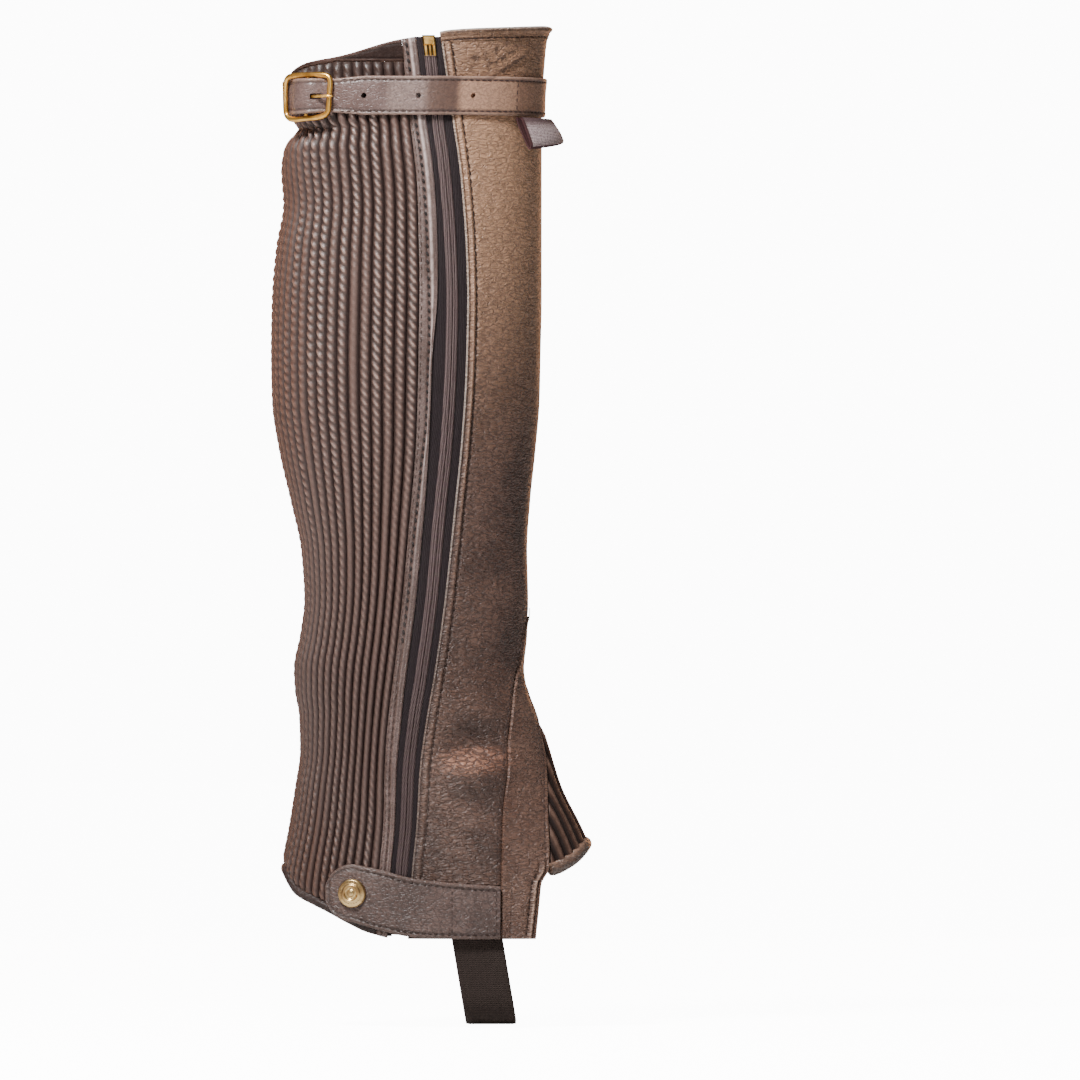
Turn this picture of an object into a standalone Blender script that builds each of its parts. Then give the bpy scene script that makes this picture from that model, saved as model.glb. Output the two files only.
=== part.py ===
"""Half chap for the right leg, in the form it has when it is worn.

+X points to the shin and the toes, -Y to the outer side with the zip, +Z up. The origin is the
middle of the ring that the top strap makes round the calf, where the wearer's leg holds it.
Sizes are in millimetres and become metres when a mesh is made.
"""
import bisect
import math
from collections import namedtuple
from functools import lru_cache

import bmesh
import bpy
import numpy as np
from mathutils import Matrix, Vector

MM = 0.001
COLLECTION = "half_chap"

# Cloth thicknesses and the clearances between pieces
LEATHER = 1.6
RIB_VALLEY = 1.3
RIB_PEAK = 3.0
SEAM = 0.3
LAY = 0.4

# Outline of the worn leg, one row for each section. Back and front are the outer faces in the
# side view, half_width is the inner face towards the sides, back_square is how boxy the rear half
# is: 2 is an ellipse.
Section = namedtuple("Section", "height back front half_width back_square")
SECTIONS = (
    Section(38.0, -64.5, 63.0, 48.5, 2.3),
    Section(23.0, -64.0, 60.5, 48.0, 2.7),
    Section(11.0, -62.8, 59.5, 47.4, 3.1),
    Section(0.0, -61.8, 58.5, 47.0, 3.3),
    Section(-10.0, -60.8, 58.3, 46.8, 3.3),
    Section(-15.0, -57.8, 58.4, 47.0, 3.1),
    Section(-19.0, -60.2, 58.5, 47.6, 2.9),
    Section(-25.0, -65.0, 58.5, 49.0, 2.6),
    Section(-35.0, -66.5, 58.5, 50.0, 2.3),
    Section(-51.0, -65.5, 58.5, 50.5, 2.2),
    Section(-73.0, -69.0, 58.5, 51.5, 2.2),
    Section(-97.0, -71.0, 58.5, 52.5, 2.2),
    Section(-121.0, -71.5, 58.0, 52.5, 2.2),
    Section(-145.0, -71.0, 57.5, 51.0, 2.2),
    Section(-169.0, -67.5, 55.5, 48.0, 2.2),
    Section(-193.0, -62.0, 53.0, 44.5, 2.2),
    Section(-217.0, -57.0, 51.5, 41.5, 2.2),
    Section(-241.0, -55.5, 52.0, 39.0, 2.2),
    Section(-258.0, -57.5, 51.5, 37.5, 2.2),
    Section(-274.0, -60.5, 50.0, 36.5, 2.2),
    Section(-284.0, -60.0, 51.5, 36.0, 2.2),
    Section(-296.0, -58.0, 55.8, 36.0, 2.2),
    Section(-313.0, -57.5, 61.1, 36.0, 2.2),
    Section(-332.0, -60.0, 67.2, 36.5, 2.2),
    Section(-351.0, -63.0, 76.6, 37.0, 2.2),
    Section(-361.0, -65.0, 81.0, 37.5, 2.2),
    Section(-375.0, -67.5, 86.0, 38.0, 2.2),
    Section(-404.0, -70.0, 94.0, 38.0, 2.2),
)
FRONT_SQUARE = 2.0
HALF_RING = 361

# Largest folds, where the leather sinks (-) or swells (+) over the ankle. Side is -1 on the outer
# side, along and up are how far a fold reaches each way, tilt is its rise for each unit along.
Fold = namedtuple("Fold", "side x height along up tilt depth")
FOLDS = (
    Fold(-1, 24.0, -303.0, 20.0, 8.0, -0.06, -2.4),
    Fold(-1, 26.0, -319.0, 18.0, 9.0, 0.04, 1.3),
    Fold(-1, 30.0, -268.0, 18.0, 10.0, 0.20, -1.2),
    Fold(1, 18.0, -296.0, 26.0, 8.0, 0.10, -2.4),
    Fold(1, 14.0, -312.0, 24.0, 9.0, 0.05, 1.4),
    Fold(1, 26.0, -262.0, 20.0, 9.0, -0.15, -1.4),
    Fold(1, 20.0, -206.0, 26.0, 12.0, 0.15, -1.0),
)

# Top and bottom edges in the side view, the same on both sides
Edge = namedtuple("Edge", "x height")
TOP_EDGE = (Edge(-62.0, 12.2), Edge(-53.0, 16.0), Edge(-38.0, 18.8), Edge(-11.0, 26.3),
            Edge(5.0, 29.0), Edge(16.0, 31.4), Edge(50.0, 33.6), Edge(63.0, 34.8))
HEM_EDGE = (Edge(-67.0, -369.5), Edge(-58.0, -382.5), Edge(-50.0, -386.8), Edge(-43.0, -390.2),
            Edge(-33.0, -395.5), Edge(-23.0, -400.0), Edge(-10.0, -402.7), Edge(60.0, -403.0))
HEM_FRONT = -403.0
HEM_SECTION = -385.0
TOP_SECTION = 20.0

# The zip down the outer side: the middle of its coil in the side view, and the widths beside it
ZipRow = namedtuple("ZipRow", "height x front_tape rear_tape facing")
ZIP_ROWS = (
    ZipRow(29.0, 4.2, 2.6, 2.8, 7.0),
    ZipRow(-9.6, 8.4, 3.8, 2.2, 8.0),
    ZipRow(-39.0, 12.2, 4.2, 2.3, 8.3),
    ZipRow(-73.0, 14.7, 4.3, 3.2, 9.0),
    ZipRow(-97.0, 15.4, 4.3, 4.1, 8.6),
    ZipRow(-130.0, 14.7, 4.3, 6.1, 6.5),
    ZipRow(-164.0, 12.8, 4.0, 5.4, 6.2),
    ZipRow(-201.0, 9.3, 3.7, 4.2, 6.8),
    ZipRow(-237.6, 6.0, 3.1, 4.2, 6.7),
    ZipRow(-274.6, 1.1, 3.0, 4.0, 6.2),
    ZipRow(-299.0, -2.6, 2.6, 2.9, 6.5),
    ZipRow(-323.0, -5.1, 2.1, 2.5, 6.0),
    ZipRow(-347.5, -6.2, 1.9, 2.2, 5.8),
    ZipRow(-370.0, -8.3, 1.8, 2.0, 5.8),
    ZipRow(-403.0, -10.3, 1.8, 2.0, 5.8),
)
COIL_WIDTH = 6.0
COIL_INNER = 0.2
COIL_OUTER = 2.0
COIL_RIDGE = 2.5
TAPE_INNER = 0.4
TAPE_OUTER = 1.3
TAPE_TRIM = 0.8
FACING_FOLD = 0.9

# Seams of the instep piece and the gusset in the side view, from the shin down
Seam = namedtuple("Seam", "height x")
INSTEP_TOP = -246.7
INSTEP_SEAM = (Seam(-255.0, 49.1), Seam(-269.0, 47.0), Seam(-280.0, 44.4), Seam(-297.0, 43.1),
               Seam(-314.0, 42.2), Seam(-327.0, 41.0), Seam(-348.0, 39.3), Seam(-371.0, 38.9),
               Seam(-403.0, 38.4))
GUSSET_TOP = -282.0
GUSSET_SEAM = (Seam(-297.0, 54.8), Seam(-318.0, 59.2), Seam(-331.0, 60.2), Seam(-348.0, 61.1),
               Seam(-363.0, 61.9), Seam(-371.0, 61.0), Seam(-376.0, 58.1), Seam(-388.0, 56.9),
               Seam(-403.0, 55.4))
GUSSET_SECTION = -365.0
GUSSET_HEM = (Edge(61.5, -371.0), Edge(65.0, -369.5), Edge(70.5, -366.5), Edge(75.0, -363.0),
              Edge(79.5, -358.5), Edge(81.0, -356.5))
FLAP_STEP = -371.0

# Ribs
CALF_RIBS = 22
CALF_LEAN = 0.12
LEAN_START = -310.0
INNER_SEAM_SHARE = 0.07
GUSSET_RIBS = 12
GUSSET_LEAST = 3.0
GUSSET_GAP = 1.2
GUSSET_SHARES = (0.0, 0.15, 0.3, 0.45, 0.6, 0.8, 1.0)
RIB_PROFILE = ((0.0, RIB_VALLEY), (0.3, RIB_PEAK), (0.7, RIB_PEAK))

# Edges
BAND_FOOT = 16.0
BAND_LEAST = 2.6
BINDING_HEIGHT = 6.0
BINDING_OUT = 2.9
HEM_BINDING = 4.5
HEM_BINDING_OUT = 3.0
ROLL_RADIUS = 2.8

# Strap and buckle. Places along the strap are girths from the buckle's centre bar, towards the
# shin, and lifts are heights over the cloth's inner face.
STRAP_HALF = 9.4
STRAP_THROAT = 7.9
STRAP_LEATHER = 1.5
STRAP_END = -9.0
BUCKLE_X = -49.5
BUCKLE_LENGTH = 24.5
BUCKLE_HEIGHT = 22.0
BUCKLE_WIRE = 1.35
FRAME_SQUARE = 7.0
BAR_WIRE = 0.9
BAR_LIFT = 6.5
PRONG_WIRE = 0.8
PRONG_CLEAR = 1.15
CHAPE_LEATHER = 1.0
CHAPE_LENGTH = 58.0
HOLE_RADIUS = 1.3
HOLE_XS = (-25.9, -0.5, 24.5)
Lift = namedtuple("Lift", "along lift")
BILLET_PATH = (Lift(-44.0, 5.5), Lift(-38.0, 5.5), Lift(-31.0, 5.5), Lift(-26.0, 5.6),
               Lift(-21.0, 6.7), Lift(-16.0, 6.8), Lift(-11.4, 6.8), Lift(-8.0, 7.0),
               Lift(-6.0, 7.9), Lift(-4.0, 8.9), Lift(-2.0, 9.6), Lift(0.0, 9.8), Lift(2.0, 9.5),
               Lift(4.0, 8.4), Lift(6.0, 6.6), Lift(8.0, 5.1), Lift(10.0, 4.2), Lift(13.0, 4.15))
CHAPE_OUT = (Lift(-24.0, 4.05), Lift(-16.0, 4.05), Lift(-8.0, 4.05), Lift(-4.0, 4.2))
CHAPE_BACK = (Lift(-4.0, 7.4), Lift(-7.0, 5.5), Lift(-12.0, 5.3), Lift(-19.0, 5.3))
CHAPE_TURN = 1.75
FRAME_LIFTS = (Lift(-13.0, 9.6), Lift(-9.5, 9.1), Lift(-5.0, 7.5), Lift(0.0, BAR_LIFT),
               Lift(12.0, 6.6))
PRONG_PATH = (Lift(2.1, 6.7), Lift(4.5, 7.5), Lift(8.0, 8.7), Lift(10.9, 9.1), Lift(12.9, 8.8))

# Snap tab: its two edges in the side view
TabEdge = namedtuple("TabEdge", "x top bottom")
TAB_ROWS = (
    TabEdge(38.0, -377.7, -403.0),
    TabEdge(24.0, -376.8, -403.0),
    TabEdge(9.6, -375.4, -402.6),
    TabEdge(-4.8, -373.4, -401.6),
    TabEdge(-19.0, -369.6, -398.4),
    TabEdge(-30.7, -367.3, -394.8),
)
TAB_END = -43.5
TAB_LEATHER = 1.7
SNAP_X = -30.7
SNAP_Z = -381.0
SNAP_RADIUS = 7.0

# Zip hardware
ZIP_BOX_TOP = 28.6
ZIP_BOX_FOOT = 19.2
SLIDER_TOP = -378.0
SLIDER_FOOT = -389.0
SLIDER_OUT = 2.9
PULL_FOOT = -399.0
PULL_OUT = 2.2

# Elastic under the foot
ELASTIC_WIDTH = 24.0
ELASTIC_THICK = 1.4
ELASTIC_X_TOP = 27.4
ELASTIC_X_FOOT = 34.3
ELASTIC_FOOT = -444.0
ELASTIC_TOP = -392.0
ELASTIC_HALF = 36.0
ELASTIC_TURN = 14.0

# Folded label under the strap
LABEL_START = 3.0
LABEL_WIDTH = 30.0
LABEL_THICK = 0.7
LABEL_TOP = -10.3
LABEL_DROP_SHIN, LABEL_DROP_OUTER = 0.88, 1.16

# Heights of the rows of points down a panel. Between the two fixed heights rows are level, beyond
# them they fan out to the hem and to the top edge.
FIXED_LOW, FIXED_HIGH = -300.0, -10.0
LOW_SHARES = (0.0, 0.15, 0.311, 0.45, 0.6, 0.8)
LEVELS = (-300.0, GUSSET_TOP, -268.0, -255.0, INSTEP_TOP, -228.0, -208.0, -188.0, -168.0, -146.0,
          -122.0, -97.0, -76.0, -56.0, -40.0, -31.0, -24.0, -15.0)
HIGH_SHARES = (0.0, 0.35, 0.68, 1.0)


class Smooth:
    """Smooth curve through the rows of a table, with no overshoot between rows."""

    def __init__(self, rows, key, value):
        pairs = sorted((getattr(row, key), getattr(row, value)) for row in rows)
        self.keys = [pair[0] for pair in pairs]
        self.values = [pair[1] for pair in pairs]
        steps = [(self.values[k + 1] - self.values[k]) / (self.keys[k + 1] - self.keys[k])
                 for k in range(len(pairs) - 1)]
        self.slopes = [steps[0]]
        for before, after in zip(steps, steps[1:]):
            same_way = before * after > 0
            self.slopes.append(2 * before * after / (before + after) if same_way else 0.0)
        self.slopes.append(steps[-1])

    def __call__(self, key):
        key = min(max(key, self.keys[0]), self.keys[-1])
        k = min(max(bisect.bisect_right(self.keys, key) - 1, 0), len(self.keys) - 2)
        span = self.keys[k + 1] - self.keys[k]
        t = (key - self.keys[k]) / span
        start = (2 * t ** 3 - 3 * t * t + 1) * self.values[k]
        start += (t ** 3 - 2 * t * t + t) * span * self.slopes[k]
        end = (3 * t * t - 2 * t ** 3) * self.values[k + 1]
        end += (t ** 3 - t * t) * span * self.slopes[k + 1]
        return start + end


back_at = Smooth(SECTIONS, "height", "back")
front_at = Smooth(SECTIONS, "height", "front")
half_width_at = Smooth(SECTIONS, "height", "half_width")
back_square_at = Smooth(SECTIONS, "height", "back_square")
top_at_x = Smooth(TOP_EDGE, "x", "height")
hem_at_x = Smooth(HEM_EDGE, "x", "height")
gusset_hem_at_x = Smooth(GUSSET_HEM, "x", "height")
zip_x_at = Smooth(ZIP_ROWS, "height", "x")
front_tape_at = Smooth(ZIP_ROWS, "height", "front_tape")
rear_tape_at = Smooth(ZIP_ROWS, "height", "rear_tape")
facing_at = Smooth(ZIP_ROWS, "height", "facing")
instep_x_at = Smooth(INSTEP_SEAM, "height", "x")
gusset_x_at = Smooth(GUSSET_SEAM, "height", "x")
tab_top_at = Smooth(TAB_ROWS, "x", "top")
tab_bottom_at = Smooth(TAB_ROWS, "x", "bottom")


def section_sizes(height):
    """Middle, half length and half width of the cloth's inner face at a height."""
    back = back_at(height) + RIB_PEAK
    front = front_at(height) - LEATHER
    return (back + front) / 2, (front - back) / 2, half_width_at(height)


def skin(angle, height):
    """Points of the inner face: angle 0 is the shin, and it grows towards the outer side."""
    middle, half_length, half_width = section_sizes(height)
    ahead, aside = np.cos(angle), np.sin(angle)
    square = np.where(ahead > 0, FRONT_SQUARE, back_square_at(height))
    reach = (np.abs(ahead) / half_length) ** square + (np.abs(aside) / half_width) ** square
    reach = reach ** (-1 / square)
    return np.stack((middle + reach * ahead, -reach * aside, np.full_like(reach, height)), -1)


@lru_cache(maxsize=None)
def ring(height):
    """Angles round a section, the girth up to each from the shin, and its points."""
    angles = np.linspace(0, 2 * math.pi, 2 * HALF_RING - 1)
    points = skin(angles, height)
    steps = np.linalg.norm(np.diff(points, axis=0), axis=1)
    return angles, np.concatenate(([0.0], np.cumsum(steps))), points


def whole_girth(height):
    return ring(height)[1][-1]


def girth_at_x(x, height):
    """Girth on the outer side, from the shin to where the side view shows x."""
    _, girths, points = ring(height)
    outer = points[:HALF_RING, 0][::-1]
    return float(np.interp(x, outer, girths[:HALF_RING][::-1]))


def x_at_girth(girth, height):
    _, girths, points = ring(height)
    return float(np.interp(girth % girths[-1], girths, points[:, 0]))


def fold_depth(point):
    """How far the folds move the cloth outwards at a point of the skin."""
    depth = 0.0
    for fold in FOLDS:
        if point[1] * fold.side > 0:
            along = (point[0] - fold.x) / fold.along
            up = (point[2] - fold.height - fold.tilt * (point[0] - fold.x)) / fold.up
            depth += fold.depth * math.exp(-along * along - up * up)
    return depth


def place(girth, height, lift):
    """Point at a girth from the shin and a height, lifted off the cloth's inner face."""
    height = round(height, 3)
    angles, girths, _ = ring(height)
    angle = float(np.interp(girth % girths[-1], girths, angles))
    turn, rise = 0.01, 0.5
    here = skin(np.array([angle, angle + turn, angle - turn]), height)
    above = skin(np.array([angle]), height + rise)[0]
    below = skin(np.array([angle]), height - rise)[0]
    normal = np.cross(above - below, here[1] - here[2])
    normal /= np.linalg.norm(normal)
    return Vector(here[0] + normal * (lift + fold_depth(here[0])))


def hem_height(girth_share):
    return hem_at_x(x_at_girth(girth_share * whole_girth(HEM_SECTION), HEM_SECTION))


def top_height(girth_share):
    return top_at_x(x_at_girth(girth_share * whole_girth(TOP_SECTION), TOP_SECTION))


def row_heights(bottom, top):
    """Heights of a column's points from its bottom edge to its top edge."""
    low = [bottom + (FIXED_LOW - bottom) * share for share in LOW_SHARES]
    high = [FIXED_HIGH + (top - FIXED_HIGH) * share for share in HIGH_SHARES]
    return low + list(LEVELS) + high


# Seams as girths from the shin
def zip_girth(height):
    return girth_at_x(zip_x_at(height), round(height, 3))


def leather_edge(height):
    return zip_girth(height) - COIL_WIDTH / 2 - front_tape_at(height)


def facing_start(height):
    return zip_girth(height) + COIL_WIDTH / 2 + rear_tape_at(height)


def calf_start(height):
    return facing_start(height) + facing_at(height)


def calf_end(height):
    return whole_girth(round(height, 3)) * (0.5 + INNER_SEAM_SHARE)


def seam_girth(height, apex, x_at):
    """Girth of a seam that opens from the shin at its apex."""
    first = x_at.keys[-1]
    if height >= apex:
        return 0.0
    if height > first:
        share = (apex - height) / (apex - first)
        return girth_at_x(x_at(first), first) * share
    return girth_at_x(x_at(height), round(height, 3))


def instep_girth(height):
    return seam_girth(height, INSTEP_TOP, instep_x_at)


def gusset_girth(height):
    return seam_girth(height, GUSSET_TOP, gusset_x_at)


# Making meshes
def material(name, colour, roughness, metallic=0.0):
    made = bpy.data.materials.new(name)
    made.use_nodes = True
    shader = made.node_tree.nodes["Principled BSDF"]
    shader.inputs["Base Color"].default_value = (*colour, 1.0)
    shader.inputs["Roughness"].default_value = roughness
    shader.inputs["Metallic"].default_value = metallic
    return made


def add_object(name, mesh, finish, smooth=35.0):
    """Put a mesh in the object's collection with its own material."""
    mesh.materials.clear()
    mesh.materials.append(material(name, *finish))
    mesh.shade_smooth()
    mesh.set_sharp_from_angle(angle=math.radians(smooth))
    made = bpy.data.objects.new(name, mesh)
    parts.objects.link(made)
    return made


def mesh_from(name, points, faces):
    mesh = bpy.data.meshes.new(name)
    mesh.from_pydata([point * MM for point in points], [], faces)
    builder = bmesh.new()
    builder.from_mesh(mesh)
    bmesh.ops.recalc_face_normals(builder, faces=builder.faces)
    builder.to_mesh(mesh)
    builder.free()
    return mesh


def ribbed_wall(name, outer, inner, finish, steps=1, smooth=35.0):
    """Closed wall between an outer and an inner grid, both lists of columns.

    The outer grid has `steps` columns for each one of the inner grid.
    """
    rows = len(outer[0])
    points = [point for column in outer for point in column]
    first_inner = len(points)
    points += [point for column in inner for point in column]

    def out(column, row):
        return column * rows + row

    def inn(column, row):
        return first_inner + column * rows + row

    faces = []
    for column in range(len(outer) - 1):
        for row in range(rows - 1):
            faces.append((out(column, row), out(column + 1, row), out(column + 1, row + 1),
                          out(column, row + 1)))
    for column in range(len(inner) - 1):
        for row in range(rows - 1):
            faces.append((inn(column, row), inn(column, row + 1), inn(column + 1, row + 1),
                          inn(column + 1, row)))
        for row in (0, rows - 1):
            rim = [out(column * steps + step, row) for step in range(steps + 1)]
            faces.append((*rim, inn(column + 1, row), inn(column, row)))
    for column, inner_column in ((0, 0), (len(outer) - 1, len(inner) - 1)):
        for row in range(rows - 1):
            faces.append((out(column, row), out(column, row + 1), inn(inner_column, row + 1),
                          inn(inner_column, row)))
    return add_object(name, mesh_from(name, points, faces), finish, smooth)


def notched_wall(name, sides, lift_in, lift_out, finish):
    """Closed wall of several grids of (girth, height) that share points along their seams."""
    index, outer, inner, quads = {}, [], [], []
    for grid in sides:
        for column in grid:
            for spot in column:
                key = (round(spot[0], 3), round(spot[1], 3))
                if key not in index:
                    index[key] = len(outer)
                    outer.append(place(*spot, lift_out))
                    inner.append(place(*spot, lift_in))
        for left, right in zip(grid, grid[1:]):
            for row in range(len(left) - 1):
                corners = (left[row], right[row], right[row + 1], left[row + 1])
                quads.append([index[(round(g, 3), round(z, 3))] for g, z in corners])
    quads = [tuple(dict.fromkeys(quad)) for quad in quads]
    edges = {}
    for quad in quads:
        for start, end in zip(quad, quad[1:] + quad[:1]):
            edges.setdefault(frozenset((start, end)), []).append((start, end))
    count = len(outer)
    faces = quads + [tuple(count + corner for corner in reversed(quad)) for quad in quads]
    for uses in edges.values():
        if len(uses) == 1:
            start, end = uses[0]
            faces.append((end, start, count + start, count + end))
    return add_object(name, mesh_from(name, outer + inner, faces), finish)


def plain_wall(name, columns, lift_in, lift_out, finish):
    """Closed wall over columns of (girth, height). Lifts are numbers or functions of the column."""
    count = len(columns)

    def lifted(lift, number):
        return lift(number / (count - 1)) if callable(lift) else lift

    outer = [[place(g, z, lifted(lift_out, k)) for g, z in column]
             for k, column in enumerate(columns)]
    inner = [[place(g, z, lifted(lift_in, k)) for g, z in column]
             for k, column in enumerate(columns)]
    return ribbed_wall(name, outer, inner, finish)


def strip_columns(start, end, count, bottom_trim=0.0, top_trim=0.0, top=None, bottom=None):
    """Columns of a strip between two seams, given as girths at a height."""
    columns = []
    for number in range(count + 1):
        share = number / count

        def girth(height):
            left, right = start(height) + SEAM / 2, end(height) - SEAM / 2
            return left + (right - left) * share

        low = hem_height(girth(HEM_SECTION) / whole_girth(HEM_SECTION)) + bottom_trim
        high = top_height(girth(TOP_SECTION) / whole_girth(TOP_SECTION)) - top_trim
        low = low if bottom is None else bottom
        high = high if top is None else top
        columns.append([(girth(z), z) for z in row_heights(low, high)])
    return columns


def sweep(name, path, radius, finish, sides=10, cyclic=False):
    """Tube along points in millimetres, from a curve with filled caps, as a clean mesh."""
    curve = bpy.data.curves.new(name, "CURVE")
    curve.dimensions = "3D"
    curve.bevel_depth = radius * MM
    curve.bevel_resolution = max(sides // 2 - 2, 0)
    curve.use_fill_caps = not cyclic
    spline = curve.splines.new("POLY")
    spline.points.add(len(path) - 1)
    spline.use_cyclic_u = cyclic
    for spot, point in zip(spline.points, path):
        spot.co = (*(point * MM), 1.0)
    carrier = bpy.data.objects.new(name + "_curve", curve)
    parts.objects.link(carrier)
    bpy.context.view_layer.update()
    graph = bpy.context.evaluated_depsgraph_get()
    mesh = bpy.data.meshes.new_from_object(carrier.evaluated_get(graph))
    bpy.data.objects.remove(carrier)
    bpy.data.curves.remove(curve)
    builder = bmesh.new()
    builder.from_mesh(mesh)
    bmesh.ops.remove_doubles(builder, verts=builder.verts, dist=0.00001)
    bmesh.ops.recalc_face_normals(builder, faces=builder.faces)
    builder.to_mesh(mesh)
    builder.free()
    mesh.name = name
    return add_object(name, mesh, finish, 60.0)


def boolean(target, tool, operation, keep_tool=False):
    """Cut or join with EXACT, applied, and put the tool away."""
    modifier = target.modifiers.new(operation.lower(), "BOOLEAN")
    modifier.operation = operation
    modifier.object = tool
    modifier.solver = "EXACT"
    bpy.context.view_layer.update()
    graph = bpy.context.evaluated_depsgraph_get()
    mesh = bpy.data.meshes.new_from_object(target.evaluated_get(graph))
    target.modifiers.remove(modifier)
    target.data = mesh
    if not keep_tool:
        bpy.data.objects.remove(tool)


# Finishes: colour, roughness, metallic
LEATHER_BROWN = ((0.13, 0.075, 0.048), 0.5)
RIB_BROWN = ((0.07, 0.042, 0.035), 0.55)
STRAP_BROWN = ((0.10, 0.058, 0.042), 0.45)
TAPE_BLACK = ((0.012, 0.012, 0.015), 0.8)
COIL_BROWN = ((0.05, 0.035, 0.032), 0.6)
ELASTIC_BLACK = ((0.022, 0.014, 0.012), 0.85)
LABEL_BROWN = ((0.06, 0.02, 0.02), 0.8)
BRASS = ((0.72, 0.50, 0.20), 0.25, 1.0)
PALE_BRASS = ((0.78, 0.66, 0.42), 0.3, 1.0)


def make_leather_panel():
    """Main wrap: outer side, shin and inner side, open over the instep."""
    outer_count, inner_count = 8, 15

    def columns(count, start, end):
        grid = []
        for number in range(count + 1):
            share = number / count

            def girth(height):
                return start(height) + (end(height) - start(height)) * share

            low = hem_height(girth(HEM_SECTION) / whole_girth(HEM_SECTION))
            high = top_height(girth(TOP_SECTION) / whole_girth(TOP_SECTION))
            high -= BINDING_HEIGHT + SEAM
            grid.append([(girth(z), z) for z in row_heights(low, high)])
        return grid

    def notch(height):
        return instep_girth(height) + (SEAM / 2 if height < INSTEP_TOP else 0.0)

    outer_side = columns(outer_count, lambda z: leather_edge(z) - SEAM / 2, notch)
    inner_side = columns(inner_count, lambda z: -notch(z),
                         lambda z: calf_end(z) + SEAM / 2 - whole_girth(round(z, 3)))
    notched_wall("leather_panel", (outer_side, inner_side), 0.0, LEATHER, LEATHER_BROWN)


def make_instep_panel():
    """A-shaped leather piece over the instep, with a flap down to the hem on each side."""
    heights = [z for z in row_heights(HEM_FRONT, FIXED_HIGH) if z < INSTEP_TOP - 1]
    heights.append(INSTEP_TOP - 2.0)

    def columns(side):
        grid = []
        for share in (0.0, 0.5, 1.0):
            column = []
            for z in heights:
                outside = max(instep_girth(z) - SEAM / 2, 0.2)
                inside = gusset_girth(z) + (SEAM / 2 if z < GUSSET_TOP else 0.0)
                column.append((side * (outside + (inside - outside) * share), z))
            grid.append(column)
        return grid

    notched_wall("instep_panel", (columns(1), columns(-1)), 0.0, LEATHER, LEATHER_BROWN)


def make_gusset():
    """Ribbed gusset: its ribs run parallel to the shin line and end at the seam."""
    rows = [z for z in row_heights(HEM_FRONT, FIXED_HIGH) if FLAP_STEP - 1 < z <= GUSSET_TOP]
    widths = [gusset_girth(z) - GUSSET_GAP if z < GUSSET_TOP else 0.0 for z in rows]
    hem_girth = widths[0]
    pitch = 2 * hem_girth / GUSSET_RIBS

    def spot(girth, height, lift):
        """Point on the straight run between the two nearest rows of the leather beside it."""
        above = min(max(bisect.bisect_right(rows, height), 1), len(rows) - 1)
        below = above - 1
        share = (height - rows[below]) / (rows[above] - rows[below])
        ends = [place(math.copysign(min(abs(girth), widths[row]), girth), rows[row], lift)
                for row in (below, above)]
        return ends[0].lerp(ends[1], share)

    def column(girth, lift):
        low = gusset_hem_at_x(x_at_girth(abs(girth), GUSSET_SECTION)) + ROLL_RADIUS + SEAM
        reach = float(np.interp(abs(girth), widths[::-1], rows[::-1]))
        high = max(reach - SEAM, low + GUSSET_LEAST)
        return [spot(girth, low + (high - low) * share, lift) for share in GUSSET_SHARES]

    outer, inner = [], []
    for rib in range(GUSSET_RIBS):
        start = -hem_girth + rib * pitch
        inner.append(column(start, 0.0))
        for share, lift in RIB_PROFILE:
            outer.append(column(start + pitch * share, lift))
    inner.append(column(hem_girth, 0.0))
    outer.append(column(hem_girth, RIB_VALLEY))
    ribbed_wall("instep_gusset", outer, inner, RIB_BROWN, len(RIB_PROFILE), 80.0)


def calf_girth(share, height):
    """Girth of a rib, which leans to the back near the hem."""
    lean = max(0.0, (LEAN_START - height) / (LEAN_START - HEM_FRONT))
    share += CALF_LEAN * lean * share * (1 - share) ** 2
    start, end = calf_start(height) + SEAM / 2, calf_end(height) - SEAM / 2
    return start + (end - start) * share


def band_foot(share):
    """Height of the tops of the ribs."""
    girth = calf_girth(share, TOP_SECTION)
    top = top_height(girth / whole_girth(TOP_SECTION))
    return min(BAND_FOOT, top - BAND_LEAST)


def make_calf_panel():
    """Ribbed stretch panel round the back of the calf."""
    def column(share, lift):
        hem = hem_height(calf_girth(share, HEM_SECTION) / whole_girth(HEM_SECTION))
        low = hem + HEM_BINDING + SEAM
        high = band_foot(share) - SEAM
        return [place(calf_girth(share, z), z, lift) for z in row_heights(low, high)]

    outer, inner = [], []
    for rib in range(CALF_RIBS):
        inner.append(column(rib / CALF_RIBS, 0.0))
        for part, lift in RIB_PROFILE:
            outer.append(column((rib + part) / CALF_RIBS, lift))
    inner.append(column(1.0, 0.0))
    outer.append(column(1.0, RIB_VALLEY))
    ribbed_wall("calf_panel", outer, inner, RIB_BROWN, len(RIB_PROFILE), 80.0)


def make_calf_edges():
    """Smooth band over the ribs and the binding under them."""
    band, binding = [], []
    for number in range(CALF_RIBS + 1):
        share = number / CALF_RIBS
        girth = calf_girth(share, TOP_SECTION)
        top = top_height(girth / whole_girth(TOP_SECTION))
        foot = band_foot(share)
        band.append([(calf_girth(share, z), z) for z in (foot, (foot + top) / 2, top)])
        hem = hem_height(calf_girth(share, HEM_SECTION) / whole_girth(HEM_SECTION))
        binding.append([(calf_girth(share, hem + rise), hem + rise)
                        for rise in (0.0, HEM_BINDING / 2, HEM_BINDING)])
    plain_wall("calf_top_band", band, 0.0, LEATHER, RIB_BROWN)
    plain_wall("calf_hem_binding", binding, 0.0, HEM_BINDING_OUT, RIB_BROWN)


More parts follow.
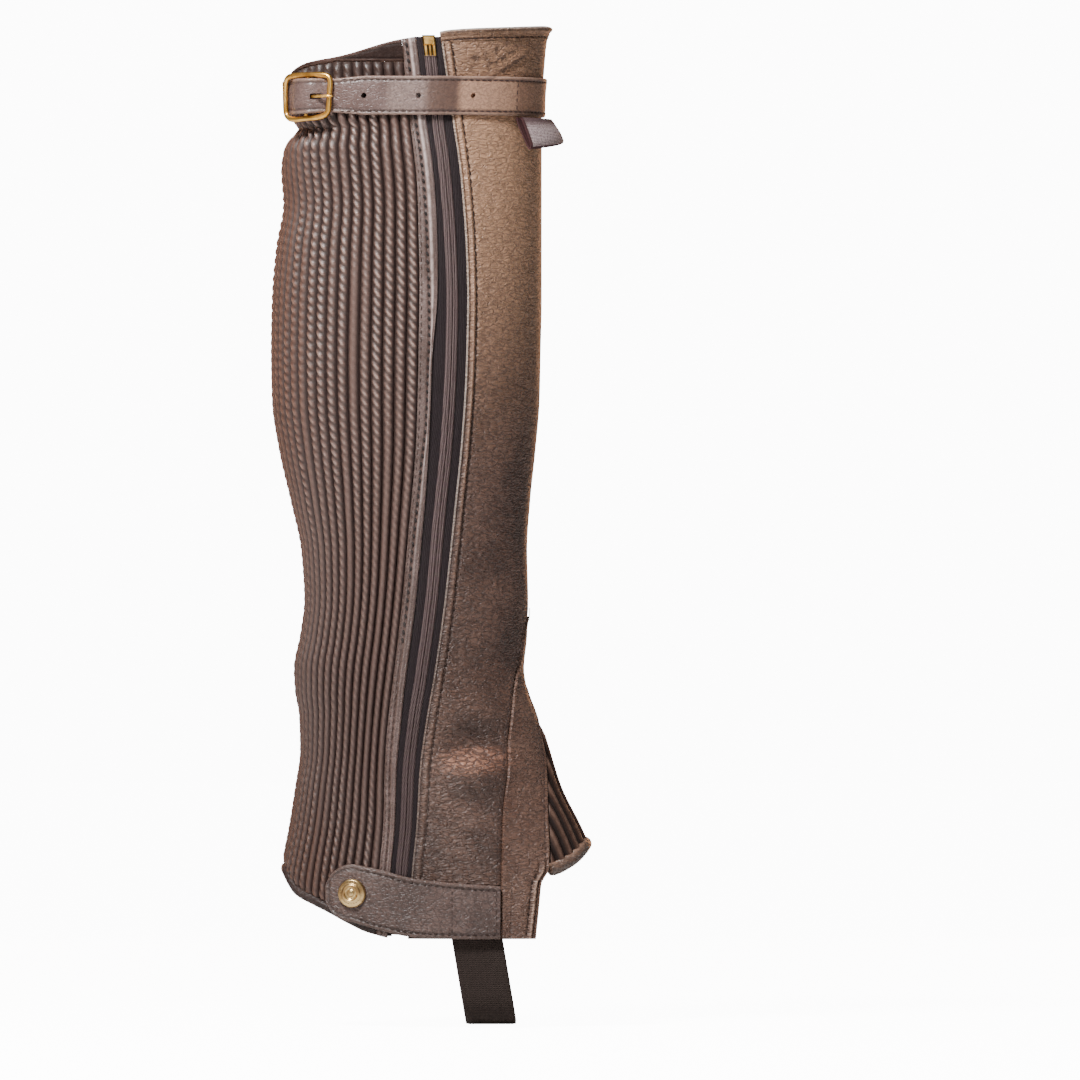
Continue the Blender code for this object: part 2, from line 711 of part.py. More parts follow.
def make_zip():
    """Facing strip, tapes, coil, retaining box and slider."""
    def coil_start(height):
        return zip_girth(height) - COIL_WIDTH / 2

    def coil_end(height):
        return zip_girth(height) + COIL_WIDTH / 2

    facing = strip_columns(facing_start, calf_start, 4)
    plain_wall("zip_facing", facing, 0.0, lambda share: LEATHER + (FACING_FOLD if share < 0.5 else 0.3),
               LEATHER_BROWN)
    plain_wall("zip_tape_front", strip_columns(leather_edge, coil_start, 1, TAPE_TRIM, TAPE_TRIM),
               TAPE_INNER, TAPE_OUTER, TAPE_BLACK)
    plain_wall("zip_tape_rear", strip_columns(coil_end, facing_start, 1, TAPE_TRIM, TAPE_TRIM),
               TAPE_INNER, TAPE_OUTER, TAPE_BLACK)
    coil = strip_columns(coil_start, coil_end, 2, top=ZIP_BOX_FOOT - SEAM,
                         bottom=SLIDER_TOP + SEAM)
    plain_wall("zip_coil", coil, COIL_INNER,
               lambda share: COIL_RIDGE if share == 0.5 else COIL_OUTER, COIL_BROWN)
    make_zip_box(coil_start, coil_end)
    make_slider(coil_start, coil_end)


def relief(name, start, end, shares, heights, lift_at, finish):
    """Closed block over the skin whose outer face is a relief."""
    outer, inner = [], []
    for share in shares:
        spots = [(start(z) + (end(z) - start(z)) * share, z) for z in heights]
        outer.append([place(g, z, lift_at(share, z)) for g, z in spots])
        inner.append([place(g, z, COIL_INNER) for g, z in spots])
    return ribbed_wall(name, outer, inner, finish)


def make_zip_box(coil_start, coil_end):
    """Retaining box with the pins below it."""
    block_foot = 24.0
    shares = (0.06, 0.1, 0.3, 0.34, 0.38, 0.42, 0.58, 0.62, 0.66, 0.7, 0.9, 0.94)
    bars = ((0.1, 0.34), (0.42, 0.58), (0.66, 0.9))

    def lift_at(share, height):
        if height > block_foot - 0.5:
            return 3.2 if 0.1 <= share <= 0.9 else 2.4
        on_bar = any(low <= share <= high for low, high in bars)
        return 2.8 if on_bar else 1.8

    heights = (ZIP_BOX_FOOT, block_foot - 0.6, block_foot, ZIP_BOX_TOP - 0.8, ZIP_BOX_TOP)
    relief("zip_box", coil_start, coil_end, shares, heights, lift_at, BRASS)


def make_slider(coil_start, coil_end):
    """Slider with its pull lying flat, under the tab."""
    shares = (0.08, 0.14, 0.32, 0.38, 0.62, 0.68, 0.86, 0.92)

    def lift_at(share, height):
        if height > SLIDER_FOOT:
            return SLIDER_OUT if 0.1 < share < 0.9 else SLIDER_OUT - 0.6
        return PULL_OUT if 0.35 < share < 0.65 else PULL_OUT - 0.8

    heights = (PULL_FOOT, SLIDER_FOOT - 0.2, SLIDER_FOOT + 0.2, SLIDER_TOP - 1.0, SLIDER_TOP)
    relief("zip_slider", coil_start, coil_end, shares, heights, lift_at, BRASS)


def make_top_binding():
    """Rolled binding round the leather's top edge."""
    count = 26
    profile = ((0.0, 0.0), (0.0, LEATHER + 0.7), (0.35, BINDING_OUT), (0.75, BINDING_OUT - 0.2),
               (1.0, LEATHER), (1.0, 0.2), (0.75, -0.5), (0.3, -0.5))
    columns = []
    for number in range(count + 1):
        share = number / count

        def girth(height):
            start = leather_edge(height) - SEAM / 2
            end = calf_end(height) + SEAM / 2 - whole_girth(round(height, 3))
            return start + (end - start) * share

        top = top_height(girth(TOP_SECTION) / whole_girth(TOP_SECTION))
        foot = top - BINDING_HEIGHT
        column = []
        for rise, lift in profile:
            z = foot + BINDING_HEIGHT * rise
            column.append(place(girth(z), z, lift))
        columns.append(column)
    loft_loops("top_binding", columns, LEATHER_BROWN)


def loft_loops(name, loops, finish, smooth=50.0):
    """Closed body through a row of closed loops of points, with flat ends."""
    size = len(loops[0])
    points = [point for loop in loops for point in loop]
    faces = [tuple(range(size)), tuple(range(len(points) - size, len(points)))[::-1]]
    for number in range(len(loops) - 1):
        for corner in range(size):
            after = (corner + 1) % size
            faces.append((number * size + corner, (number + 1) * size + corner,
                          (number + 1) * size + after, number * size + after))
    return add_object(name, mesh_from(name, points, faces), finish, smooth)


def make_gusset_binding():
    """Rolled binding under the gusset, from flap to flap."""
    edge = gusset_girth(FLAP_STEP) - 1.0
    path = []
    count = 22
    for number in range(count + 1):
        girth = -edge + 2 * edge * number / count
        x = x_at_girth(abs(girth), GUSSET_SECTION)
        path.append(place(girth, gusset_hem_at_x(x), 1.2))
    sweep("gusset_hem_binding", path, ROLL_RADIUS, LEATHER_BROWN, 8)


# Strap and buckle
billet_lift_at = Smooth(BILLET_PATH, "along", "lift")
frame_lift_at = Smooth(FRAME_LIFTS, "along", "lift")


def buckle_girth():
    return girth_at_x(BUCKLE_X, 0.0)


def strap_point(along, height, lift):
    """Point on the strap's own run: along is the girth from the centre bar to the shin."""
    return place(buckle_girth() - along, height, lift)


def strap_wall(name, spots, thickness, half_at, finish):
    """Closed strap along (along, lift) spots in the middle of its leather."""
    outer, inner = [], []
    for number, spot in enumerate(spots):
        before, after = spots[max(number - 1, 0)], spots[min(number + 1, len(spots) - 1)]
        run = Vector((after[0] - before[0], after[1] - before[1])).normalized()
        across = Vector((-run.y, run.x)) * (thickness / 2)
        half = half_at(spot[0])
        heights = (-half, 0.0, half)
        outer.append([strap_point(spot[0] + across.x, z, spot[1] + across.y) for z in heights])
        inner.append([strap_point(spot[0] - across.x, z, spot[1] - across.y) for z in heights])
    return ribbed_wall(name, outer, inner, finish)


def make_strap():
    """Billet with its holes, the chape round the centre bar, the frame and the prong."""
    bar = buckle_girth()
    zip_along = bar - zip_girth(0.0)
    front_lift = LEATHER + LAY + STRAP_LEATHER / 2
    rear_lift = RIB_PEAK + LAY + STRAP_LEATHER / 2

    def rest_lift(along):
        share = min(max((along - zip_along) / 12.0, 0.0), 1.0)
        return rear_lift + (front_lift - rear_lift) * share

    spots = [(spot.along, spot.lift) for spot in BILLET_PATH]
    along, end = spots[-1][0], bar - STRAP_END
    count = 34
    spots += [(along + (end - along) * k / count, rest_lift(along + (end - along) * k / count))
              for k in range(1, count + 1)]

    def billet_half(at):
        if at < -36.0:
            return STRAP_THROAT - 4.0 * ((-36.0 - at) / 8.0) ** 2
        share = min(max((at - 12.0) / 14.0, 0.0), 1.0)
        return STRAP_THROAT + (STRAP_HALF - STRAP_THROAT) * share

    billet = strap_wall("strap_billet", spots, STRAP_LEATHER, billet_half, STRAP_BROWN)

    loop = [(CHAPE_TURN * math.cos(turn), BAR_LIFT + CHAPE_TURN * math.sin(turn))
            for turn in np.linspace(-0.5 * math.pi, 0.55 * math.pi, 9)]
    start, lift = CHAPE_OUT[0]
    first = [(-CHAPE_LENGTH + (CHAPE_LENGTH + start) * k / 8, lift) for k in range(8)]
    chape_spots = first + [tuple(spot) for spot in CHAPE_OUT] + loop
    chape_spots += [tuple(spot) for spot in CHAPE_BACK]
    chape = strap_wall("strap_chape", chape_spots, CHAPE_LEATHER, lambda at: STRAP_THROAT,
                       STRAP_BROWN)

    frame_path = []
    count = 36
    for number in range(count):
        turn = 2 * math.pi * number / count
        ahead, aside = math.cos(turn), math.sin(turn)
        reach = (abs(ahead) ** FRAME_SQUARE + abs(aside) ** FRAME_SQUARE) ** (-1 / FRAME_SQUARE)
        along = (BUCKLE_LENGTH / 2 - BUCKLE_WIRE) * ahead * reach
        height = (BUCKLE_HEIGHT / 2 - BUCKLE_WIRE) * aside * reach
        frame_path.append(strap_point(along, height, frame_lift_at(along)))
    frame = sweep("buckle_frame", frame_path, BUCKLE_WIRE, BRASS, 8, cyclic=True)
    side = BUCKLE_HEIGHT / 2 - BUCKLE_WIRE
    bar_path = [strap_point(0.0, z, BAR_LIFT) for z in (-side, 0.0, side)]
    boolean(frame, sweep("centre_bar", bar_path, BAR_WIRE, BRASS, 8), "UNION")

    prong_path = [strap_point(spot.along, 0.0, spot.lift) for spot in PRONG_PATH]
    sweep("buckle_prong", prong_path, PRONG_WIRE, BRASS, 8)
    slot = sweep("prong_slot", prong_path, PRONG_CLEAR, BRASS, 8)
    boolean(chape, slot, "DIFFERENCE", keep_tool=True)
    boolean(billet, slot, "DIFFERENCE")
    for x in HOLE_XS:
        along = bar - girth_at_x(x, 0.0)
        ends = [strap_point(along, 0.0, rest_lift(along) + lift) for lift in (-3.0, 3.0)]
        boolean(billet, sweep("hole", ends, HOLE_RADIUS, BRASS, 10), "DIFFERENCE")


def make_snap_tab():
    """Tab that covers the zip's lower end, round behind its snap."""
    xs = [38.0, 33.0, 28.0, 23.0, 18.0, 13.0, 8.0, 3.0, -2.0, -7.0, -12.0, -17.0, -22.0, -26.5,
          -30.7, -34.5, -38.0, -40.7, -42.5, TAB_END]
    end_radius = SNAP_X - TAB_END
    columns, lifts = [], []
    for x in xs:
        top, bottom = tab_top_at(x), tab_bottom_at(x)
        if x < SNAP_X:
            share = math.sqrt(max(1 - ((SNAP_X - x) / end_radius) ** 2, 0.06))
            middle = (top + bottom) / 2
            top, bottom = middle + (top - middle) * share, middle + (bottom - middle) * share
        heights = [bottom + (top - bottom) * share for share in (0.0, 0.33, 0.67, 1.0)]
        columns.append([(girth_at_x(x, round(z, 3)), z) for z in heights])
        share = min(max((x - 2.0) / 14.0, 0.0), 1.0)
        lifts.append(RIB_PEAK + LAY + (LEATHER - RIB_PEAK) * share)
    outer = [[place(g, z, lift + TAB_LEATHER) for g, z in column]
             for column, lift in zip(columns, lifts)]
    inner = [[place(g, z, lift) for g, z in column] for column, lift in zip(columns, lifts)]
    ribbed_wall("snap_tab", outer, inner, STRAP_BROWN)


def make_snap_cap():
    """Turned cap with a plain ring."""
    seat = RIB_PEAK + LAY + TAB_LEATHER + SEAM
    profile = ((0.0, 2.6), (1.6, 2.6), (2.2, 2.0), (3.2, 2.0), (3.9, 2.5), (5.4, 2.1), (6.6, 1.3),
               (SNAP_RADIUS, 0.5), (SNAP_RADIUS - 0.3, 0.0), (0.0, 0.0))
    mesh = bpy.data.meshes.new("snap_cap")
    mesh.from_pydata([(radius * MM, 0, height * MM) for radius, height in profile],
                     [(k, k + 1) for k in range(len(profile) - 1)], [])
    carrier = bpy.data.objects.new("cap_profile", mesh)
    parts.objects.link(carrier)
    screw = carrier.modifiers.new("turn", "SCREW")
    screw.steps = screw.render_steps = 20
    screw.use_merge_vertices = True
    screw.merge_threshold = 0.00001
    bpy.context.view_layer.update()
    graph = bpy.context.evaluated_depsgraph_get()
    turned = bpy.data.meshes.new_from_object(carrier.evaluated_get(graph))
    bpy.data.objects.remove(carrier)
    builder = bmesh.new()
    builder.from_mesh(turned)
    bmesh.ops.remove_doubles(builder, verts=builder.verts, dist=0.00001)
    bmesh.ops.recalc_face_normals(builder, faces=builder.faces)
    builder.to_mesh(turned)
    builder.free()
    cap = add_object("snap_cap", turned, PALE_BRASS)
    girth = girth_at_x(SNAP_X, SNAP_Z)
    base = place(girth, SNAP_Z, seat)
    outward = (place(girth, SNAP_Z, seat + 1.0) - base).normalized()
    turn = Vector((0, 0, 1)).rotation_difference(outward).to_matrix().to_4x4()
    cap.matrix_world = Matrix.Translation(base * MM) @ turn


def make_elastic():
    """Elastic from the outer hem, under the foot, to the inner hem."""
    columns = 5
    outer, inner = [], []
    for number in range(columns):
        across = ELASTIC_WIDTH * (number / (columns - 1) - 0.5)
        spots = []
        for z in (ELASTIC_TOP, -397.0, -403.0):
            x = ELASTIC_X_TOP + across
            skin_point = place(girth_at_x(x, z), z, -LAY - ELASTIC_THICK / 2)
            spots.append((skin_point.x, skin_point.y, z))
        turn_z = ELASTIC_FOOT + ELASTIC_TURN + ELASTIC_THICK / 2
        lean = (ELASTIC_X_FOOT - ELASTIC_X_TOP) / (-403.0 - ELASTIC_FOOT)
        spots.append((ELASTIC_X_TOP + across + lean * 14.0, -ELASTIC_HALF, -417.0))
        for step in range(5):
            turn = math.radians(90 * step / 4)
            y = -ELASTIC_HALF + ELASTIC_TURN * (1 - math.cos(turn))
            z = turn_z - ELASTIC_TURN * math.sin(turn)
            spots.append((ELASTIC_X_TOP + across + lean * (-403.0 - z), y, z))
        half = [Vector(spot) for spot in spots]
        path = half + [Vector((spot.x, -spot.y, spot.z)) for spot in reversed(half)]
        out_column, in_column = [], []
        for k, spot in enumerate(path):
            run = path[min(k + 1, len(path) - 1)] - path[max(k - 1, 0)]
            across_run = Vector((0, run.z, -run.y)).normalized() * (ELASTIC_THICK / 2)
            out_column.append(spot + across_run)
            in_column.append(spot - across_run)
        outer.append(out_column)
        inner.append(in_column)
    ribbed_wall("stirrup_elastic", outer, inner, ELASTIC_BLACK)


def make_label():
    """Folded label that stands out under the strap at the shin."""
    path = ((3.4, -10.3), (4.0, -13.0), (6.6, -17.6), (9.6, -22.4), (11.0, -23.4), (12.0, -22.0),
            (10.2, -17.6), (7.8, -13.2), (6.3, -10.6))
    outer, inner = [], []
    count = 9
    for number in range(count + 1):
        girth = LABEL_START + LABEL_WIDTH * number / count
        drop = LABEL_DROP_SHIN + (LABEL_DROP_OUTER - LABEL_DROP_SHIN) * number / count
        out_column, in_column = [], []
        for k, (lift, level) in enumerate(path):
            z = LABEL_TOP + (level - LABEL_TOP) * drop
            before, after = path[max(k - 1, 0)], path[min(k + 1, len(path) - 1)]
            run = Vector((after[0] - before[0], after[1] - before[1])).normalized()
            across = Vector((run.y, -run.x)) * (LABEL_THICK / 2)
            out_column.append(place(girth, z + across.y, lift + across.x))
            in_column.append(place(girth, z - across.y, lift - across.x))
        outer.append(out_column)
        inner.append(in_column)
    ribbed_wall("label", outer, inner, LABEL_BROWN)


for old in list(bpy.data.objects):
    bpy.data.objects.remove(old)
parts = bpy.data.collections.new(COLLECTION)
bpy.context.scene.collection.children.link(parts)

make_leather_panel()
make_instep_panel()
make_gusset()
make_calf_panel()
make_calf_edges()
make_zip()
make_top_binding()
make_gusset_binding()
make_strap()
make_snap_tab()
make_snap_cap()
make_elastic()
make_label()
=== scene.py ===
import math

import bpy
import numpy as np
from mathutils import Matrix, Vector


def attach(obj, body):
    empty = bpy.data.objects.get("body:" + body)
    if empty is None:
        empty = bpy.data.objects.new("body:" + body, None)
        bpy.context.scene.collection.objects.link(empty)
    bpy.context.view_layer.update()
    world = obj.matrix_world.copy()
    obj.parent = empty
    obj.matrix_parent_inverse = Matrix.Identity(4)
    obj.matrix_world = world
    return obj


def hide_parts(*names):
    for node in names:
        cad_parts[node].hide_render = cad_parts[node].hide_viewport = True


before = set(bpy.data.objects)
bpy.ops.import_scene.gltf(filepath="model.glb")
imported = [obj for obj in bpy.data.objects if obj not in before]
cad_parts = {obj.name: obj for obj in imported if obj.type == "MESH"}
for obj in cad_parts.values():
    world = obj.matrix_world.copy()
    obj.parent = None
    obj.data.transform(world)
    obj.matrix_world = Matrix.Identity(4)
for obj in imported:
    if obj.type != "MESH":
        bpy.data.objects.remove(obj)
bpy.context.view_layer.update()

# Leather wrap
# The main piece: one panel of soft, pebble-grained cowhide from the zip round the shin to the seam
# behind the inner calf, cut open over the instep. Its edge along the zip is turned under and sewn.
MM = 0.001
LEATHER = 1.6
RIB_PEAK = 3.0
SEAM = 0.06

# The worn leg: height, back, front, half width, squareness of the back, in millimetres
LEG_FORM = (
    (38.0, -64.5, 63.0, 48.5, 2.3), (23.0, -64.0, 60.5, 48.0, 2.7), (11.0, -62.8, 59.5, 47.4, 3.1),
    (0.0, -61.8, 58.5, 47.0, 3.3), (-10.0, -60.8, 58.3, 46.8, 3.3),
    (-15.0, -57.8, 58.4, 47.0, 3.1), (-19.0, -60.2, 58.5, 47.6, 2.9),
    (-25.0, -65.0, 58.5, 49.0, 2.6), (-35.0, -66.5, 58.5, 50.0, 2.3),
    (-51.0, -65.5, 58.5, 50.5, 2.2), (-73.0, -69.0, 58.5, 51.5, 2.2),
    (-97.0, -71.0, 58.5, 52.5, 2.2), (-121.0, -71.5, 58.0, 52.5, 2.2),
    (-145.0, -71.0, 57.5, 51.0, 2.2), (-169.0, -67.5, 55.5, 48.0, 2.2),
    (-193.0, -62.0, 53.0, 44.5, 2.2), (-217.0, -57.0, 51.5, 41.5, 2.2),
    (-241.0, -55.5, 52.0, 39.0, 2.2), (-258.0, -57.5, 51.5, 37.5, 2.2),
    (-274.0, -60.5, 50.0, 36.5, 2.2), (-284.0, -60.0, 51.5, 36.0, 2.2),
    (-296.0, -58.0, 55.8, 36.0, 2.2), (-313.0, -57.5, 61.1, 36.0, 2.2),
    (-332.0, -60.0, 67.2, 36.5, 2.2), (-351.0, -63.0, 76.6, 37.0, 2.2),
    (-361.0, -65.0, 81.0, 37.5, 2.2), (-375.0, -67.5, 86.0, 38.0, 2.2),
    (-404.0, -70.0, 94.0, 38.0, 2.2),
)
TOP_EDGE = ((-62.0, 12.2), (-53.0, 16.0), (-38.0, 18.8), (-11.0, 26.3), (5.0, 29.0),
            (16.0, 31.4), (50.0, 33.6), (63.0, 34.8))
HEM_EDGE = ((-67.0, -369.5), (-58.0, -382.5), (-50.0, -386.8), (-43.0, -390.2), (-33.0, -395.5),
            (-23.0, -400.0), (-10.0, -402.7), (60.0, -403.0))
HEM_SECTION, TOP_SECTION = -385.0, 20.0

# Zip line in the side view: height, middle of the coil, front tape, rear tape, facing
ZIP_LINE = (
    (29.0, 4.2, 2.6, 2.8, 7.0), (-9.6, 8.4, 3.8, 2.2, 8.0), (-39.0, 12.2, 4.2, 2.3, 8.3),
    (-73.0, 14.7, 4.3, 3.2, 9.0), (-97.0, 15.4, 4.3, 4.1, 8.6), (-130.0, 14.7, 4.3, 6.1, 6.5),
    (-164.0, 12.8, 4.0, 5.4, 6.2), (-201.0, 9.3, 3.7, 4.2, 6.8), (-237.6, 6.0, 3.1, 4.2, 6.7),
    (-274.6, 1.1, 3.0, 4.0, 6.2), (-299.0, -2.6, 2.6, 2.9, 6.5), (-323.0, -5.1, 2.1, 2.5, 6.0),
    (-347.5, -6.2, 1.9, 2.2, 5.8), (-370.0, -8.3, 1.8, 2.0, 5.8), (-403.0, -10.3, 1.8, 2.0, 5.8),
)
COIL_WIDTH = 6.0
INSTEP_TOP, GUSSET_TOP, FLAP_STEP = -246.7, -282.0, -371.0
INSTEP_SEAM = ((-255.0, 49.1), (-269.0, 47.0), (-280.0, 44.4), (-297.0, 43.1), (-314.0, 42.2),
               (-327.0, 41.0), (-348.0, 39.3), (-371.0, 38.9), (-403.0, 38.4))
GUSSET_SEAM = ((-297.0, 54.8), (-318.0, 59.2), (-331.0, 60.2), (-348.0, 61.1), (-363.0, 61.9),
               (-371.0, 61.0), (-376.0, 58.1), (-388.0, 56.9), (-403.0, 55.4))
INNER_SEAM_SHARE = 0.07

# Folds of the worn leather: side (-1 outer), x, height, reach along and up, tilt, depth
FOLDS = (
    (-1, 27.0, -309.0, 16.0, 9.0, 0.02, -3.6), (-1, 25.0, -326.0, 17.0, 8.0, 0.04, 2.2),
    (-1, 30.0, -268.0, 18.0, 10.0, 0.20, -1.2), (1, 18.0, -296.0, 26.0, 8.0, 0.10, -2.4),
    (1, 14.0, -312.0, 24.0, 9.0, 0.05, 1.4), (1, 26.0, -262.0, 20.0, 9.0, -0.15, -1.4),
    (1, 20.0, -206.0, 26.0, 12.0, 0.15, -1.0),
    (-1, 40.0, 17.5, 7.0, 0.9, 0.62, -0.85), (-1, 36.0, 19.5, 8.0, 0.8, 0.55, -0.55),
    (-1, 44.0, 14.0, 8.0, 1.0, 0.70, -0.60), (-1, 40.0, 11.0, 10.0, 0.9, 0.50, -0.45),
    (-1, 30.0, 14.5, 7.0, 0.8, 0.30, -0.45), (-1, 27.0, 17.5, 5.0, 0.7, 0.10, -0.35),
    (-1, 28.0, 11.5, 7.0, 0.7, 0.05, -0.35), (-1, 38.0, 22.5, 9.0, 0.8, 0.45, -0.40),
    (-1, 47.0, 18.5, 6.0, 1.6, 0.75, 0.50), (-1, 33.0, 16.0, 8.0, 1.2, 0.45, 0.30),
    (-1, 36.0, -232.0, 12.0, 4.0, 0.25, -0.5), (-1, 30.0, -251.0, 16.0, 5.0, -0.12, -0.5),
    (-1, 20.0, -283.0, 9.0, 3.0, -0.2, -0.45), (-1, 27.0, -338.0, 12.0, 4.0, 0.15, -0.5),
    (-1, 20.0, -352.0, 10.0, 3.5, -0.1, 0.45), (-1, 48.0, -330.0, 6.0, 5.0, 0.3, -0.5),
    (1, 34.0, -222.0, 14.0, 4.0, 0.2, -0.6), (1, 10.0, -276.0, 16.0, 4.0, -0.15, -0.7),
    (1, 24.0, -326.0, 16.0, 4.5, 0.1, -0.7), (1, 2.0, -343.0, 14.0, 4.0, -0.1, 0.5),
    (1, 30.0, -354.0, 12.0, 4.0, 0.2, -0.5), (1, -10.0, 14.0, 16.0, 2.2, -0.2, -0.5),
    (1, 24.0, 8.0, 14.0, 2.0, 0.3, 0.4), (1, -6.0, -40.0, 12.0, 5.0, 0.5, -0.5),
)


def smooth_curve(pairs):
    """Function that runs smoothly through (key, value) pairs, with no overshoot."""
    keys, values = np.array(sorted(pairs), float).T
    steps = np.diff(values) / np.diff(keys)
    turning = steps[:-1] * steps[1:] <= 0
    middle = 2 * steps[:-1] * steps[1:] / np.where(turning, 1.0, steps[:-1] + steps[1:])
    slopes = np.concatenate((steps[:1], np.where(turning, 0.0, middle), steps[-1:]))

    def at(key):
        key = np.clip(key, keys[0], keys[-1])
        k = np.clip(np.searchsorted(keys, key, side="right") - 1, 0, len(keys) - 2)
        span = keys[k + 1] - keys[k]
        t = (key - keys[k]) / span
        start = (2 * t ** 3 - 3 * t * t + 1) * values[k] + (t ** 3 - 2 * t * t + t) * span * slopes[k]
        end = (3 * t * t - 2 * t ** 3) * values[k + 1] + (t ** 3 - t * t) * span * slopes[k + 1]
        return start + end

    return at


def column_of(table, number):
    return smooth_curve([(row[0], row[number]) for row in table])


top_at_x, hem_at_x = smooth_curve(TOP_EDGE), smooth_curve(HEM_EDGE)

# The leg as rows of points one millimetre apart, evenly spread round its girth from the shin
AROUND, TURNS = 1440, 1080
form_heights = np.arange(-406.0, 44.1, 1.0)
turns = np.linspace(0.0, 2 * math.pi, TURNS + 1)
form_back, form_front, form_half, form_square = (
    column_of(LEG_FORM, number)(form_heights)[:, None] for number in (1, 2, 3, 4))
form_back, form_front = form_back + RIB_PEAK, form_front - LEATHER
form_square = np.where(np.cos(turns) > 0, 2.0, form_square)
form_reach = (np.abs(np.cos(turns)) / ((form_front - form_back) / 2)) ** form_square
form_reach = (form_reach + (np.abs(np.sin(turns)) / form_half) ** form_square) ** (-1 / form_square)
ring_x = (form_front + form_back) / 2 + form_reach * np.cos(turns)
ring_y = -form_reach * np.sin(turns)
ring_girth = np.cumsum(np.hypot(np.diff(ring_x), np.diff(ring_y)), axis=1)
ring_girth = np.hstack((np.zeros((len(form_heights), 1)), ring_girth))
leg_girth = ring_girth[:, -1]
leg_points = np.empty((len(form_heights), AROUND, 3))
for row, height in enumerate(form_heights):
    even = leg_girth[row] * np.arange(AROUND) / AROUND
    leg_points[row, :, 0] = np.interp(even, ring_girth[row], ring_x[row])
    leg_points[row, :, 1] = np.interp(even, ring_girth[row], ring_y[row])
    leg_points[row, :, 2] = height


def unit(vectors):
    """Vectors brought to a length of one."""
    return vectors / np.linalg.norm(vectors, axis=-1, keepdims=True)


def between(start, end, share):
    return start + (end - start) * share


def hump(value, middle, width):
    """1 at the middle, falling softly to nothing two widths away."""
    return np.exp(-((value - middle) / width) ** 2)


leg_normals = unit(np.cross(np.roll(leg_points, -4, 1) - np.roll(leg_points, 4, 1),
                            np.gradient(leg_points, axis=0)))
if leg_normals[200, 0, 0] < 0:
    leg_normals = -leg_normals


def worn_folds(points):
    """Depth of each worn fold at the points, and how far it tips the cloth up (positive) there."""
    for side, x, z, along, up, tilt, deep in FOLDS:
        far = (points[..., 0] - x) / along
        high = (points[..., 2] - z - tilt * (points[..., 0] - x)) / up
        depth = np.where(points[..., 1] * side > 0, deep * np.exp(-far * far - high * high), 0.0)
        yield depth, 2 * depth * high / up


def on_leg(girth, height, lift=0.0):
    """Points at a girth from the shin and a height, lifted off the cloth's inner face."""
    girth, height, lift = np.broadcast_arrays(*(np.asarray(v, float) for v in (girth, height, lift)))
    row = np.clip(height - form_heights[0], 0, len(form_heights) - 1.001)
    low = row.astype(int)
    point, normal = np.zeros(girth.shape + (3,)), np.zeros(girth.shape + (3,))
    for number, weight in ((low, 1 - (row - low)), (low + 1, row - low)):
        share = (girth / leg_girth[number]) % 1.0 * AROUND
        left = share.astype(int) % AROUND
        right = (left + 1) % AROUND
        part = (share - np.floor(share))[..., None]
        for total, rows in ((point, leg_points), (normal, leg_normals)):
            total += weight[..., None] * between(rows[number, left], rows[number, right], part)
    point[..., 2] = height
    depth = sum(depth for depth, tip in worn_folds(point))
    return point + unit(normal) * (lift + depth)[..., None]


def at_height(rows):
    """Function of height from one value for each row of the leg."""
    return lambda height: np.interp(height, form_heights, rows)


def outer_girth(x_rows, rows=range(len(form_heights))):
    """Girth on the outer side where the side view shows x, for each of the rows of the leg."""
    half = TURNS // 2 + 1
    return np.array([np.interp(x, ring_x[row, :half][::-1], ring_girth[row, :half][::-1])
                     for row, x in zip(rows, np.broadcast_to(x_rows, len(rows)))])


@np.vectorize
def girth_at(x, z):
    """Girth on the outer side where the side view shows x at a height."""
    low = int(z - form_heights[0])
    return np.interp(z, form_heights[low:low + 2], outer_girth(x, (low, low + 1)))


def seam_from(apex, pairs):
    """Girth of a seam that opens from the shin at its apex."""
    rows = outer_girth(smooth_curve(pairs)(form_heights))
    first = max(key for key, value in pairs)
    start = np.interp(first, form_heights, rows)
    share = np.clip((apex - form_heights) / (apex - first), 0, 1)
    return at_height(np.where(form_heights > first, start * share, rows))


whole_girth = at_height(leg_girth)
zip_rows = outer_girth(column_of(ZIP_LINE, 1)(form_heights))
facing_rows = zip_rows + COIL_WIDTH / 2 + column_of(ZIP_LINE, 3)(form_heights)
zip_girth = at_height(zip_rows)
leather_edge = at_height(zip_rows - COIL_WIDTH / 2 - column_of(ZIP_LINE, 2)(form_heights))
facing_start = at_height(facing_rows)
calf_start = at_height(facing_rows + column_of(ZIP_LINE, 4)(form_heights))
calf_end = at_height(leg_girth * (0.5 + INNER_SEAM_SHARE))
instep_girth = seam_from(INSTEP_TOP, INSTEP_SEAM)
gusset_girth = seam_from(GUSSET_TOP, GUSSET_SEAM)


def top_height(girth):
    """Height of the top edge over a girth measured at the top section."""
    return top_at_x(on_leg(girth, TOP_SECTION)[..., 0])


def hem_height(girth):
    """Height of the hem under a girth measured at the hem section."""
    return hem_at_x(on_leg(girth, HEM_SECTION)[..., 0])


